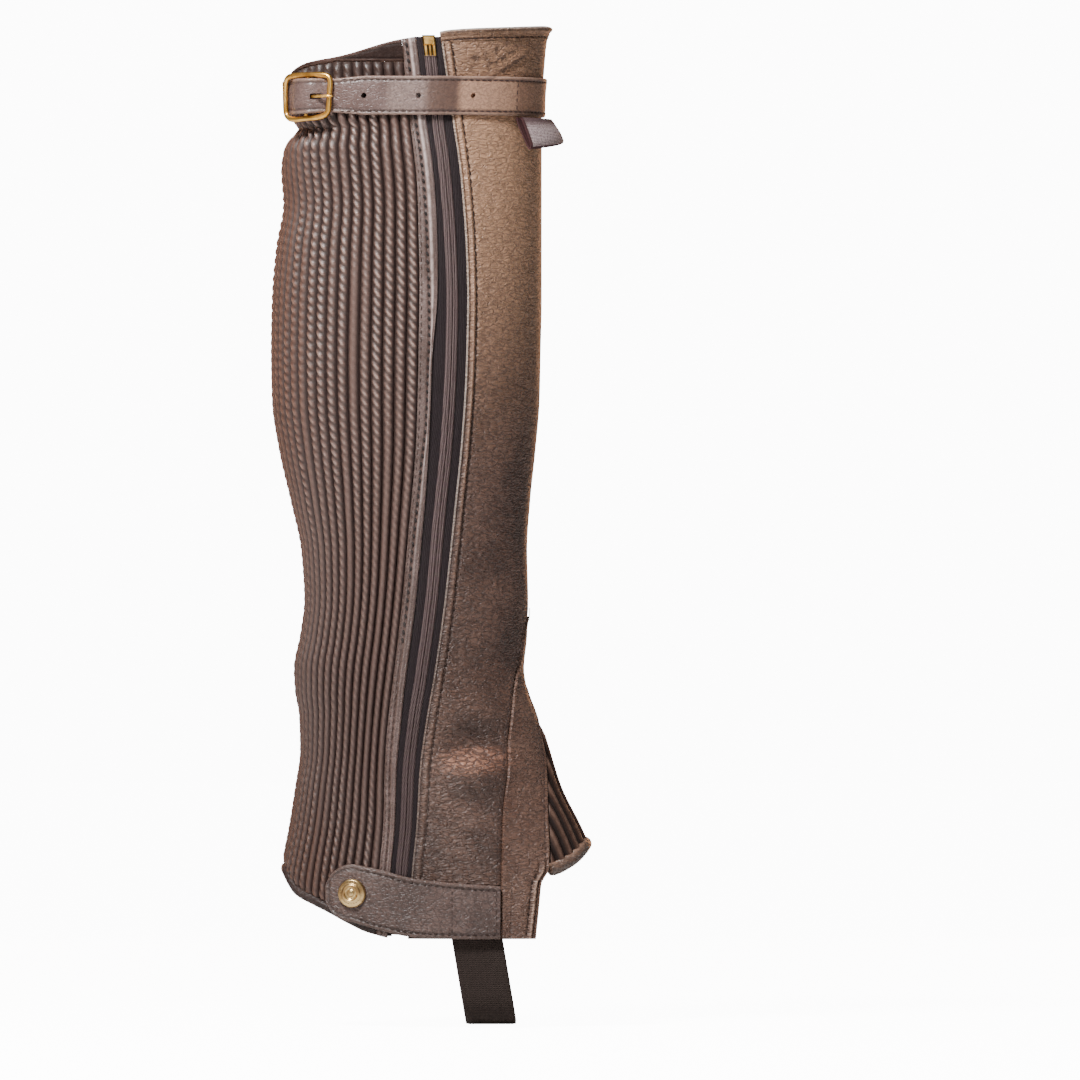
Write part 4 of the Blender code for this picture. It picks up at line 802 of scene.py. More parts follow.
# Band above the ribs
# A smooth strip of thin leather that closes the top of the ribs, sewn over their ends.
band_share = np.linspace(0, 1, 85)
band_up = np.array([0.0, 0.04, 0.12, 0.3, 0.5, 0.7, 0.86, 0.95, 1.0])
low, high = band_foot(band_share)[:, None], top_height(calf_girth(band_share, TOP_SECTION))[:, None]
height = between(low, high, band_up)
from_end = np.minimum(height - low, high - height)
crumple = 0.22 * np.sin(band_share[:, None] * 150) * np.sin(math.pi * band_up)
dark_leather = leather_finish("dark_leather", (0.022, 0.011, 0.009), (0.042, 0.022, 0.018), 0.48,
                              cell=(1.9, 1.4), relief=0.20, from_edge=1.6, pitch=3.0,
                              wear_and_sheen=(0.080, 0.045, 0.036), shine=0.35)
band_leather = leather_finish("band_leather", (0.018, 0.009, 0.007), (0.036, 0.018, 0.014), 0.60,
                              cell=(1.9, 1.4), relief=0.16, from_edge=1.6, pitch=3.0,
                              wear_and_sheen=(0.080, 0.045, 0.036), shine=0.12)
rib_band = cloth_grid("rib_band", calf_girth(band_share[:, None], height), height,
                      LEATHER + 0.3 - 0.9 * hump(from_end, 0.0, 0.5) + crumple, 0.0, from_end,
                      band_leather, ("calf_top_band",))


# Binding under the ribs
# A strip of dark leather wrapped over the ribs' lower ends, from the zip round the heel.
def loft_piece(name, loops, edge, finish, replaced):
    """Closed body through rings of (girth, height, lift), with flat ends."""
    rings = loops.shape[:2]
    cloth = np.stack((loops[..., 0], loops[..., 1], np.broadcast_to(edge, rings)), -1)
    return make_piece(name, on_leg(*np.moveaxis(loops, -1, 0)), ring_faces(*rings), cloth, finish,
                      replaced, 55.0)


def binding(name, girth_of, share, low, reach, profile, wave, edge, finish, replaced):
    """Rolled binding whose section is given as shares of its reach up from low, and lifts."""
    up, out = profile.T
    height = low[:, None] + up * reach
    lift = out + wave[:, None] * np.sin(math.pi * up) * (out > 1)
    loops = np.stack((girth_of(share[:, None], height), height, lift), -1)
    return loft_piece(name, loops, edge, finish, replaced)


bind_share = np.linspace(0, 1, 110)
bind_low = hem_height(calf_girth(bind_share, HEM_SECTION))
bind_profile = np.array(((0.0, 0.0), (0.0, 1.6), (0.08, 2.5), (0.3, 3.0), (0.6, 3.05), (0.85, 2.7),
                         (1.0, 1.7), (1.0, 0.0), (0.7, -0.5), (0.3, -0.5)))
binding("rib_hem_binding", calf_girth, bind_share, bind_low, HEM_BINDING, bind_profile,
        noise_rows(bind_low.shape, 3, 3) * 0.12, bind_profile[:, 0] * HEM_BINDING, dark_leather,
        ("calf_hem_binding",))
bind_line = bind_low + 3.7
stitched = np.stack((calf_girth(bind_share, bind_line), bind_line, np.full_like(bind_line, 2.62)), -1)
sew("hem_binding_stitching", (stitched[2:-2],), brown_thread, "binding_leather", **FINE)


# Top binding
# The wrap's top edge is turned over a strip of the same leather and sewn once below it: a round
# roll with a worn rim that carries a painted highlight, then a flat band, then the groove of the
# stitching.
top_profile = np.array(((0.0, 0.1), (0.0, 1.2), (0.05, 1.95), (0.12, 1.9), (0.18, 1.45), (0.24, 1.9),
                        (0.36, 2.2), (0.46, 2.0), (0.55, 2.25), (0.7, 3.0), (0.84, 3.15),
                        (0.95, 2.6), (1.0, 1.6), (1.0, 0.4), (0.9, -0.4), (0.6, -0.6),
                        (0.2, -0.5)))
roll_share = np.linspace(0, 1, 150)


def top_band_girth(share, z):
    return between(leather_edge(z) - SEAM / 2, calf_end(z) + SEAM / 2 - whole_girth(z), share)


roll_top = top_height(top_band_girth(roll_share, TOP_SECTION))
binding("top_roll", top_band_girth, roll_share, roll_top - BINDING_HEIGHT, BINDING_HEIGHT,
        top_profile, noise_rows(roll_top.shape, 7, 5) * 0.16, (1 - top_profile[:, 0]) * BINDING_HEIGHT,
        brown_leather, ("top_binding",))
roll_line = roll_top - 5.0
stitched = np.stack((top_band_girth(roll_share, roll_line), roll_line, np.full_like(roll_line, 1.62)),
                    -1)
sew("top_stitching", (stitched[1:-1],), brown_thread, "leather", pitch=3.4, length=2.6, width=0.5)


# Instep gusset
# A triangle of the same ribbed stretch leather over the instep, its ribs running down to a
# padded roll, so that the foot can bend.
GUSSET_RIBS, GUSSET_COLUMNS, GUSSET_ROWS = 12, 8, 88
GUSSET_HEM = ((61.5, -369.8), (65.0, -368.6), (70.5, -366.1), (75.0, -363.3), (79.5, -359.7),
              (81.0, -358.2))
GUSSET_SECTION, GUSSET_PUCKER, ROLL = -365.0, 4.4, 3.1
gusset_hem_at_x = smooth_curve(GUSSET_HEM)


def gusset_hem(girth):
    return gusset_hem_at_x(on_leg(np.abs(girth), GUSSET_SECTION)[..., 0])


rows = np.linspace(FLAP_STEP, GUSSET_TOP, 90)
widths = np.maximum(gusset_girth(rows) - SEAM, 0.0)
widths[-1] = 0.0
share = np.arange(GUSSET_RIBS * GUSSET_COLUMNS + 1)[:, None] / (GUSSET_RIBS * GUSSET_COLUMNS)
column_girth = between(-widths[0], widths[0], share)
low = gusset_hem(column_girth) + ROLL - 0.6
high = np.maximum(np.interp(np.abs(column_girth), widths[::-1], rows[::-1]) - SEAM, low + 3.0)
height = between(low, high, np.linspace(0, 1, GUSSET_ROWS))
limit = np.interp(height, rows, widths)
spread = np.abs(column_girth) * np.maximum(limit / widths[0], 1.0)
rib = np.minimum((share * GUSSET_RIBS).astype(int), GUSSET_RIBS - 1)
across = share * GUSSET_RIBS - rib
wave = 2 * math.pi * height / GUSSET_PUCKER + rib_phases(9, GUSSET_RIBS)[rib]
body = rib_body(across)
fade = np.clip((high - height) / 6.0, 0.0, 1.0) ** 0.5
slanted = np.sin(wave + 5.0 * (across - 0.5))
lift = RIB_VALLEY + (RIB_PEAK - RIB_VALLEY) * body * (0.25 + 0.75 * fade) + 0.02 * slanted * body * fade
# Where the gusset's ribs are rubbed and carry a painted highlight: their ridges
rub_and_sheen = np.clip(body ** 2.2 * (0.96 + 0.04 * slanted), 0, 1)
roll_leather = leather_finish("roll_leather", (0.105, 0.058, 0.040), (0.215, 0.126, 0.088), 0.30,
                              shine=0.75, under=(28.9, 32.6))
gusset_leather = ribbed_finish("gusset_leather", (0.010, 0.005, 0.004), (0.060, 0.031, 0.023),
                               (0.26, 0.165, 0.125), 0.15)
ribbed_gusset = ribbed_piece("ribbed_gusset", np.sign(column_girth) * np.minimum(spread, limit),
                             height, lift, rub_and_sheen, (GUSSET_COLUMNS, 29), gusset_leather,
                             ("instep_gusset",))

# Padded roll under the gusset
edge = float(gusset_girth(FLAP_STEP)) - 1.0
path_girth = np.linspace(-edge, edge, 71)[:, None]
turn = np.linspace(0, 2 * math.pi, 17)[:-1]
thick = ROLL + noise_rows((len(path_girth),), 17, 2)[:, None] * 0.07
loops = np.stack(np.broadcast_arrays(path_girth, gusset_hem(path_girth) + thick * np.sin(turn),
                                     1.2 + thick * np.cos(turn)), -1)
loft_piece("gusset_roll", loops, FAR + ROLL * np.sin(turn), roll_leather,
           ("gusset_hem_binding",))


# Zip facing
# A narrow turned strip of smooth leather between the ribs and the zip. A row of lock stitches
# sinks into it, beside the rounded fold that the zip tape comes out of.
facing_profile = smooth_curve(((0.0, 1.0), (0.25, 2.0), (0.9, 2.55), (1.9, 2.35), (3.0, 2.75),
                               (3.9, 2.3), (4.8, 1.75), (5.6, 2.0), (7.0, 1.95), (8.0, 1.6),
                               (8.6, 1.2), (12.0, 1.2)))
# The row of stitches wanders across the strip: height and distance from the zip tape
facing_stitch_at = smooth_curve(((24.0, 5.0), (-12.0, 5.3), (-44.0, 5.3), (-73.0, 5.1), (-97.0, 4.1),
                                 (-126.0, 1.8), (-155.0, 1.8), (-180.0, 3.3), (-227.0, 4.1),
                                 (-250.0, 4.0), (-308.0, 3.6), (-361.0, 2.9), (-403.0, 2.9)))
facing_steps = np.array([0.0, 0.02, 0.06, 0.12, 0.2, 0.28, 0.36, 0.43, 0.5, 0.57, 0.65, 0.74, 0.84,
                         0.93, 1.0])


def facing_girth(share, z):
    return between(facing_start(z) + SEAM / 2, calf_start(z) - SEAM / 2, share)


def facing_at(z):
    return facing_start(z) + facing_stitch_at(z)


low = hem_height(facing_girth(facing_steps, HEM_SECTION))[:, None]
high = top_height(facing_girth(facing_steps, TOP_SECTION))[:, None]
height = between(low, high, np.linspace(0, 1, 300))
girth = facing_girth(facing_steps[:, None], height)
away = girth - (facing_start(height) + SEAM / 2)
wide = calf_start(height) - facing_start(height) - SEAM
stitch_away = facing_stitch_at(height)
# The strip's section is drawn with this much on either side of its stitches
TO_STITCHES, PAST_STITCHES = 4.8, 4.2
past = (away - stitch_away) / np.maximum(wide - stitch_away, 0.1)
scaled_away = np.where(away < stitch_away, away / stitch_away * TO_STITCHES,
                       TO_STITCHES + past * PAST_STITCHES)
ends = np.minimum(height - low, high - height)
# Its ridge and rim by the zip are pale wear with a painted highlight
facing_leather = leather_finish("facing_leather", (0.085, 0.052, 0.043), (0.140, 0.092, 0.080),
                                0.38, cell=(1.9, 1.2), relief=0.20, from_edge=4.7,
                                wear_and_sheen=(0.46, 0.36, 0.34), rim=(0.26, 0.20, 0.19), top_rub_and_sheen=0.80)
zip_facing = cloth_grid("zip_facing_strip", girth, height,
                        facing_profile(scaled_away) - 0.8 * hump(ends, 0.0, 0.6), 0.0, scaled_away,
                        facing_leather, ("zip_facing",))
black_thread = thread_finish("black_thread", (0.012, 0.009, 0.009), (0.032, 0.023, 0.021))
sew("facing_stitching", (line_down(facing_at, -262.0, 26.0, 1.85),), black_thread, "leather",
    slant=0.45, width=1.35, length=2.6, rise=0.1)
sew("facing_seam_stitching", (line_down(lambda z: calf_start(z) - 1.1, -371.0, 15.0, 1.62),
                              line_down(facing_at, -371.0, -265.0, 1.7)),
    brown_thread, "leather", length=2.4, width=0.5)


# Zip tapes
# Woven black polyester tapes of the zip, sewn under the leather on both sides of the coil.
def zip_strip(start, end, steps, low, high):
    height = np.linspace(low, high, 260) * np.ones((len(steps), 1))
    return between(start(height) + SEAM / 2, end(height) - SEAM / 2, steps[:, None]), height


def coil_start(z):
    return zip_girth(z) - COIL_WIDTH / 2


def coil_end(z):
    return zip_girth(z) + COIL_WIDTH / 2


def woven_finish(name, dark, light, thread, roughness, bands="X"):
    """Woven tape: fine warp ribs crossed by a close weft, darker towards the hem."""
    tree = Finish(name, roughness, shine=0.12)
    warp, weft = tree.threads(tree.along, thread[0]), tree.threads(tree.up, thread[1])
    relief = tree.rated(warp if bands == "X" else weft, 0.7, tree.times(warp, weft))
    fuzz = tree.rated(tree.noise(tree.run, 1.6, 3.0), 1.2, relief)
    colour = tree.blend(tree.step(fuzz, -0.6, 2.0), dark, light)
    colour = tree.blend(tree.step(tree.up, -340.0, -180.0, 0.5, 0.0), colour, dark)
    return tree.dressed(colour, relief, 0.12, 0.7)


black_tape = woven_finish("black_tape", (0.010, 0.007, 0.008), (0.036, 0.027, 0.029), (0.8, 0.55), 0.8)
steps = np.linspace(0, 1, 9)
# The tapes reach a little under the leather and the coil
tucked = np.where(steps < 0.5, -0.12, 0.12) * np.isin(steps, (0.0, 1.0))
for name, start, end, node_name in (("front_tape", leather_edge, coil_start, "zip_tape_front"),
                                    ("rear_tape", coil_end, facing_start, "zip_tape_rear")):
    girth, height = zip_strip(start, end, steps, -401.5, 28.0)
    tape = cloth_grid(name, girth + tucked[:, None], height,
                      1.3 + 0.18 * np.sin(math.pi * steps)[:, None], 0.4, FAR, black_tape,
                      (node_name,))


# Zip coil
# The closed zip: the coil lies inside two folded edges of ribbed tape that meet in a fine line.
half_steps = np.array([0.0, 0.03, 0.1, 0.17, 0.22, 0.27, 0.32, 0.38, 0.44, 0.475])
coil_steps = np.concatenate((half_steps, (0.5,), 1 - half_steps[::-1]))
half_rise = smooth_curve(((0.0, 1.2), (0.03, 1.6), (0.10, 2.0), (0.2, 2.25), (0.27, 1.9), (0.34, 2.35),
                          (0.44, 2.3), (0.475, 1.95), (0.5, 1.35)))
coil_rise = half_rise(0.5 - np.abs(coil_steps - 0.5))[:, None]
girth, height = zip_strip(coil_start, coil_end, coil_steps, -377.6, 18.8)
tape_brown = woven_finish("brown_zip_tape", (0.030, 0.020, 0.020), (0.150, 0.106, 0.103),
                          (0.95, 0.6), 0.6)
cloth_grid("zip_coil_band", girth, height, coil_rise, 0.2, FAR, tape_brown,
           ("zip_coil",), sharp=80.0)


# Zip box
# The brass retaining box with its pins, at the top end of the zip.
def metal_finish(name, dark, light, roughness, hollow=()):
    """Polished metal with fine scratches and a little tarnish, with painted shade down in its hollows."""
    tree = Finish(name, roughness, metallic=1.0)
    where = tree.node("TexCoord")["Object"]
    tarnish = tree.noise(where, 180.0, 5.0, "3D")
    stretched = tree.node("Mapping", {"Vector": where, "Scale": (900.0, 900.0, 9000.0)})[0]
    colour = tree.blend(tree.step(tarnish, 0.35, 0.7), light, dark)
    if hollow:
        # Painted shade down in the hollows
        deep = tree.step(tree.edge, *hollow, 0.95, 0.0)
        colour = tree.blend(deep, colour, tuple(0.10 * value for value in dark))
    return tree.dressed(colour, tree.noise(stretched, 1.0, 3.0, "3D"), 0.02, 0.15,
                        tree.rated(tarnish, 0.18, roughness - 0.06))


def relief_piece(name, shares, heights, lift_at, replaced):
    """Brass casting on the zip, its lift given for each share of the coil's width and height."""
    share, height = np.meshgrid(shares, heights, indexing="ij")
    lift = np.vectorize(lift_at)(share, height)
    return cloth_grid(name, coil_start(height) + COIL_WIDTH * share, height, lift, 0.2, lift,
                      zip_brass, replaced, 25.0)


def rounded_top(value, low, high, soft):
    """0 to 1 hump between low and high with soft shoulders."""
    inside = min(value - low, high - value)
    return math.sqrt(max(0.0, 1 - (1 - min(max(inside / soft, 0.0), 1.0)) ** 2))


def box_lift(share, z):
    if z > BLOCK_FOOT:
        block = min(rounded_top(share, 0.04, 0.96, 0.09), rounded_top(z, BLOCK_FOOT, 28.7, 0.8))
        notch_cut = 0.7 if abs(share - 0.36) < 0.07 and 25.2 < z < 26.2 else 0.0
        return 1.5 + 1.8 * block - notch_cut
    bars = max(rounded_top(share, low, high, 0.07)
               for low, high in ((0.04, 0.32), (0.39, 0.61), (0.68, 0.96)))
    return 1.25 + 1.6 * bars


BLOCK_FOOT = 23.9
brass = metal_finish("brass", (0.60, 0.30, 0.06), (0.95, 0.56, 0.15), 0.30)
zip_brass = metal_finish("zip_brass", (0.42, 0.23, 0.05), (0.80, 0.50, 0.17), 0.28, (1.6, 2.7))
relief_piece("zip_box_block", np.linspace(-0.01, 1.01, 61), np.linspace(19.0, 28.8, 42), box_lift,
             ("zip_box",))


# Zip slider
# The brass slider at the foot of the closed zip, with its pull tab lying flat under the flap.
SLIDER_FOOT, SLIDER_TOP = -389.2, -377.8


def slider_lift(share, z):
    if z > SLIDER_FOOT:
        return 1.6 + 1.3 * min(rounded_top(share, 0.06, 0.94, 0.12),
                               rounded_top(z, SLIDER_FOOT, SLIDER_TOP, 1.2))
    ring = math.hypot((share - 0.5) * COIL_WIDTH, (z + 396.0) / 1.4)
    pull = rounded_top(share, 0.28, 0.72, 0.08)
    return 1.1 + 1.1 * pull * (0.35 if ring < 0.8 else 1.0)


relief_piece("zip_slider_body", np.linspace(0.05, 0.95, 31), np.linspace(-399.0, -377.9, 50),
             slider_lift, ("zip_slider",))


# Strap
# A flat billet of firm, smooth leather, sewn to the shin and buckled behind the calf, with a
# creased line and stitching along both edges. The short chape holds the buckle's centre bar.
STRAP_HALF, STRAP_THROAT, STRAP_END, STRAP_LEATHER = 9.4, 7.9, -9.0, 1.5
BAR_LIFT, BUCKLE_X, HOLE, STRAP_SEWN = 6.5, -49.5, 1.25, 1.9
# Room between the panels and what lies on them
CLEAR = 0.4
bar_girth = float(girth_at(BUCKLE_X, 0.0))
zip_along = bar_girth - float(zip_girth(0.0))
# Middle of the strap where it lies on the leather and on the ribs
REST_FRONT, REST_REAR = (cloth + CLEAR + STRAP_LEATHER / 2 for cloth in (LEATHER, RIB_PEAK))


def rest_lift(along):
    return between(REST_REAR, REST_FRONT, np.clip((along - zip_along) / 12.0, 0, 1))


BILLET_PATH = ((-44.0, 5.5), (-38.0, 5.5), (-31.0, 5.5), (-26.0, 5.6), (-21.0, 6.7), (-16.0, 6.8),
               (-11.4, 6.8), (-8.0, 7.0), (-6.0, 7.9), (-4.0, 8.9), (-2.0, 9.6), (0.0, 9.8),
               (2.0, 9.5), (4.0, 8.4), (6.0, 6.6), (8.0, 5.1), (10.0, 4.2), (13.0, 4.15))
billet_rest = tuple((along, float(rest_lift(along))) for along in np.arange(16.0, 160.0, 3.0))
billet_lift = smooth_curve(BILLET_PATH + billet_rest)
hole_alongs = [bar_girth - float(girth_at(x, 0.0)) for x in (-25.9, -0.5, 24.5)]
hole_cuts = np.array([-1.0, -0.5, 0.0, 0.5, 1.0]) * HOLE
billet_end = bar_girth - STRAP_END
# Rows of points along the strap, closer round its holes and round the slot for the prong
alongs = [a for a in np.arange(-44.0, billet_end, 1.3)
          if min(abs(a - h) for h in hole_alongs) > HOLE + 0.9 and not 2.9 < a < 7.1]
alongs += [h + cut for h in hole_alongs for cut in (*hole_cuts, -HOLE - 0.7, HOLE + 0.7)]
SLOT_ROWS = (3.3, 4.2, 5.1, 6.0, 6.9)
alongs = np.array(sorted((*alongs, *SLOT_ROWS, billet_end)))


def billet_half(at):
    tip = np.clip((-36.0 - at) / 8.0, 0, 1)
    half = between(STRAP_THROAT, STRAP_HALF, np.clip((at - 12.0) / 14.0, 0, 1))
    return np.where(at < -36.0, STRAP_THROAT - 4.6 * tip ** 2.2, half)


across_rows = np.array([-1.0, -0.975, -0.93, -0.86, -0.8, -0.72, -0.55, -0.35])


def strap_piece(name, spots, half, thickness, slot, replaced, holes=()):
    """Strap through spots of (along, lift), with round holes and a slot between two rows."""
    sideways = unit(np.gradient(spots, axis=0))[:, ::-1] * (-1, 1)
    edge_rows = across_rows * half[:, None]
    rows = np.concatenate((edge_rows, np.broadcast_to(hole_cuts, (len(spots), 5)),
                           -edge_rows[:, ::-1]), axis=1)
    from_edge = half[:, None] - np.abs(rows)
    swell = (0.5 * thickness * (1 - 0.75 * hump(from_edge, 0.0, 0.28))
             - 0.14 * hump(from_edge, STRAP_SEWN, 0.45))
    along = spots[:, :1] * np.ones_like(rows)
    for hole in holes:
        inside = (np.abs(along - hole) <= HOLE + 0.01) & (np.abs(rows) <= HOLE + 0.01)
        reach = np.maximum(np.abs(along - hole), np.abs(rows))
        far = np.hypot(along - hole, rows)
        scale = np.where(inside & (far > 0.01), reach / np.maximum(far, 0.01), 1.0)
        along = np.where(inside, hole + (along - hole) * scale, along)
        rows = np.where(inside, rows * scale, rows)
    outer, inner = (on_leg(bar_girth - (along + sideways[:, :1] * out), rows,
                           spots[:, 1:] + sideways[:, 1:] * out)
                    for out in (swell, -0.5 * thickness))
    quads = grid_quads(numbered(rows.shape)).reshape(rows.shape[0] - 1, rows.shape[1] - 1, 4)
    middle_along = (spots[1:, 0] + spots[:-1, 0]) / 2
    cut = np.zeros(len(quads), bool)
    cut[slot[0]:slot[1]] = True
    for hole in holes:
        cut |= np.abs(middle_along - hole) < HOLE
    keep = np.ones(quads.shape[:2], bool)
    keep[cut, len(across_rows):len(across_rows) + 4] = False
    cloth = np.stack(np.broadcast_arrays(walked_along(spots)[:, None], rows, from_edge), -1)
    return cloth_shell(name, outer, inner, quads[keep], cloth, strap_leather,
                       replaced, 50.0)


spots = np.stack((alongs, billet_lift(alongs)), -1)
# The strap is mauve brown behind, dark over the zip and tan towards the shin
mauve_from, dark_from, tan_from, sewn_from = (
    float(np.interp(bar_girth - girth_at(x, 0.0), alongs, walked_along(spots)))
    for x in (-15.0, 3.0, 18.0, 44.2))
strap_leather = leather_finish("strap_leather", (0.102, 0.061, 0.053), (0.150, 0.098, 0.088), 0.36,
                               cell=(2.1, 1.6), relief=0.22, from_edge=STRAP_SEWN, pitch=400.0,
                               wear_and_sheen=(0.22, 0.14, 0.11),
                               tones=((mauve_from, (0.200, 0.138, 0.120)),
                                      (dark_from, (0.105, 0.060, 0.045)),
                                      (tan_from, (0.390, 0.225, 0.150)),
                                      (sewn_from, (0.270, 0.150, 0.100))))
slot_first = int(np.searchsorted(alongs, SLOT_ROWS[0]))
strap = strap_piece("strap", spots, billet_half(alongs), STRAP_LEATHER,
                    (slot_first, slot_first + len(SLOT_ROWS) - 1), ("strap_billet",), hole_alongs)

# Chape: out under the bar, round it and back
CHAPE_LENGTH, CHAPE_TURN, CHAPE_LEATHER, CHAPE_FLAT = 58.0, 1.75, 1.0, 27
turned = [(CHAPE_TURN * math.cos(a), BAR_LIFT + CHAPE_TURN * math.sin(a))
          for a in np.linspace(-0.5 * math.pi, 0.55 * math.pi, 13)]
spots = np.array([(-CHAPE_LENGTH + 2.0 * k, 4.05) for k in range(CHAPE_FLAT)] + [(-4.0, 4.2)] + turned
                 + [(-4.0, 7.4), (-5.5, 6.4), (-7.0, 5.5), (-9.5, 5.32), (-12.0, 5.3), (-15.5, 5.3),
                    (-19.0, 5.3)])
chape = strap_piece("strap_chape_loop", spots, np.full(len(spots), STRAP_THROAT), CHAPE_LEATHER,
                    (CHAPE_FLAT, CHAPE_FLAT + len(turned) + 2), ("strap_chape",))


def strap_line(along_from, along_to, height):
    along = np.linspace(along_from, along_to, 200)
    return np.stack((bar_girth - along, np.full_like(along, height), billet_lift(along) + 0.62), -1)


strap_runs = [strap_line(15.0, billet_end - 2.0, side * (STRAP_HALF - STRAP_SEWN)) for side in (-1, 1)]
strap_runs += [strap_line(-35.0, -11.0, side * (STRAP_THROAT - STRAP_SEWN)) for side in (-1, 1)]
cross = np.linspace(-STRAP_HALF + 2.2, STRAP_HALF - 2.2, 30)
strap_runs += [np.stack(np.broadcast_arrays(bar_girth - along, cross, REST_FRONT + 0.68), -1)
               for along in (bar_girth - float(girth_at(44.2, 0.0)), billet_end - 2.4)]
sew("strap_stitching", strap_runs, brown_thread, "strap_leather", pitch=3.2, length=2.5, width=0.5)


# Buckle
# A cast brass frame with rounded corners, a centre bar and a prong that turns on it. The prong
# comes up through the billet's hole and rests on the front bar.
BUCKLE_LENGTH, BUCKLE_HEIGHT, WIRE, FRAME_SQUARE = 24.5, 22.0, 1.35, 6.0
BAR, PRONG, PRONG_CURL = 0.9, 0.72, 1.62
frame_lift = smooth_curve(((-13.0, 9.6), (-9.5, 9.1), (-5.0, 7.5), (0.0, BAR_LIFT), (12.0, 6.6)))


def tube(path, radii, name, replaced=(), closed=False, flat=1.0):
    """Round brass bar along points in millimetres."""
    after = np.roll(path, -1, 0) if closed else np.vstack((path[1:], 2 * path[-1] - path[-2]))
    before = np.roll(path, 1, 0) if closed else np.vstack((2 * path[0] - path[1], path[:-1]))
    run = unit(after - before)
    side = unit(np.cross(run, unit(path * (1, 1, 0))))
    outward = np.cross(side, run)
    turn = 2 * math.pi * np.arange(16)[:, None] / 16
    radii = np.broadcast_to(radii, (len(path),))[:, None, None]
    rings = (path[:, None] + radii * flat * np.cos(turn) * outward[:, None]
             + radii * np.sin(turn) * side[:, None])
    return make_piece(name, rings, ring_faces(len(path), 16, closed), rings, brass,
                      replaced, 50.0)


turn = np.linspace(0, 2 * math.pi, 97)[:-1]
reach = np.abs(np.cos(turn)) ** FRAME_SQUARE + np.abs(np.sin(turn)) ** FRAME_SQUARE
reach = reach ** (-1 / FRAME_SQUARE)
along = (BUCKLE_LENGTH / 2 - WIRE) * np.cos(turn) * reach
height = (BUCKLE_HEIGHT / 2 - WIRE) * np.sin(turn) * reach
tube(on_leg(bar_girth - along, height, frame_lift(along)), WIRE * 1.04, "buckle_ring",
     ("buckle_frame",), closed=True, flat=0.92)
bar_z = np.linspace(-BUCKLE_HEIGHT / 2 + WIRE, BUCKLE_HEIGHT / 2 - WIRE, 9)
tube(on_leg(bar_girth, bar_z, BAR_LIFT), BAR, "buckle_bar")
# The prong curls round the bar and lies on the front of the frame
prong = np.array([(PRONG_CURL * math.cos(a), BAR_LIFT + PRONG_CURL * math.sin(a))
                  for a in np.linspace(-3.6, 0.9, 16)]
                 + [(2.6, 7.55), (4.5, 8.0), (8.0, 8.75), (10.9, 9.05), (12.0, 8.95), (12.9, 8.5)])
taper = np.concatenate((np.full(len(prong) - 3, PRONG), (0.68, 0.6, 0.42)))
tube(on_leg(bar_girth - prong[:, 0], 0.0, prong[:, 1]), taper, "buckle_tongue", ("buckle_prong",))


# Snap tab
# A tab of the strap's leather, sewn to the wrap in a rectangle. It covers the zip's lower end
# and snaps shut over the ribs.
TAB_ROWS = ((38.0, -377.7, -403.0), (24.0, -376.8, -403.0), (9.6, -375.4, -402.6),
            (-4.8, -373.4, -401.6), (-19.0, -369.6, -398.4), (-30.7, -367.3, -394.8))
TAB_END, TAB_LEATHER, TAB_SEWN, SNAP_X, SNAP_Z = -43.5, 1.7, 2.2, -30.7, -381.0
tab_top, tab_bottom = column_of(TAB_ROWS, 1), column_of(TAB_ROWS, 2)


def tab_seat(x):
    """Lift of the tab's inner face, on the ribs and then on the leather."""
    return RIB_PEAK + CLEAR + (LEATHER - RIB_PEAK) * np.clip((x - 2.0) / 14.0, 0, 1)


tab_x = np.concatenate((np.linspace(38.0, SNAP_X, 60)[:-1],
                        SNAP_X - (SNAP_X - TAB_END) * np.sin(np.linspace(0, 1.32, 16))))[:, None]
tab_up = np.array([0.0, 0.012, 0.035, 0.07, 0.12, 0.2, 0.35, 0.5, 0.65, 0.8, 0.88, 0.93, 0.965, 0.988,
                   1.0])
past_snap = np.clip(SNAP_X - tab_x, 0, None) / (SNAP_X - TAB_END)
round_share = np.sqrt(np.clip(1 - past_snap ** 2, 0.03, 1))
middle = (tab_top(tab_x) + tab_bottom(tab_x)) / 2
top, bottom = (between(middle, edge(tab_x), round_share) for edge in (tab_top, tab_bottom))
height = between(bottom, top, tab_up)
from_edge = np.minimum(np.minimum(height - bottom, top - height), np.abs(tab_x - TAB_END))
lift = tab_seat(tab_x) + TAB_LEATHER - 0.75 * hump(from_edge, 0.0, 0.4)
lift = lift - 0.16 * hump(from_edge, TAB_SEWN, 0.5)
lift = lift + 0.25 * np.sin(tab_x / 5.5) * np.sin(math.pi * tab_up)
tab_leather = leather_finish("tab_leather", (0.056, 0.032, 0.026), (0.098, 0.060, 0.050), 0.38,
                             cell=(2.6, 1.5), relief=0.34, from_edge=TAB_SEWN, pitch=400.0,
                             wear_and_sheen=(0.15, 0.09, 0.07))
tab = cloth_grid("snap_tab_strap", girth_at(tab_x, height), height, lift, tab_seat(tab_x), from_edge,
                 tab_leather, ("snap_tab",), 50.0)


def tab_run(xs, zs):
    xs, zs = np.broadcast_arrays(xs, zs)
    return np.stack((girth_at(xs, zs), zs, tab_seat(xs) + TAB_LEATHER - 0.05), -1)


xs, box_z = np.linspace(36.5, -28.0, 50), np.linspace(-400.5, -379.5, 20)
sew("tab_stitching", (tab_run(xs, tab_top(xs) - TAB_SEWN), tab_run(xs, tab_bottom(xs) + TAB_SEWN),
                      tab_run(36.2, box_z), tab_run(15.5, box_z)),
    brown_thread, "strap_leather", pitch=3.0, length=2.3, width=0.5)


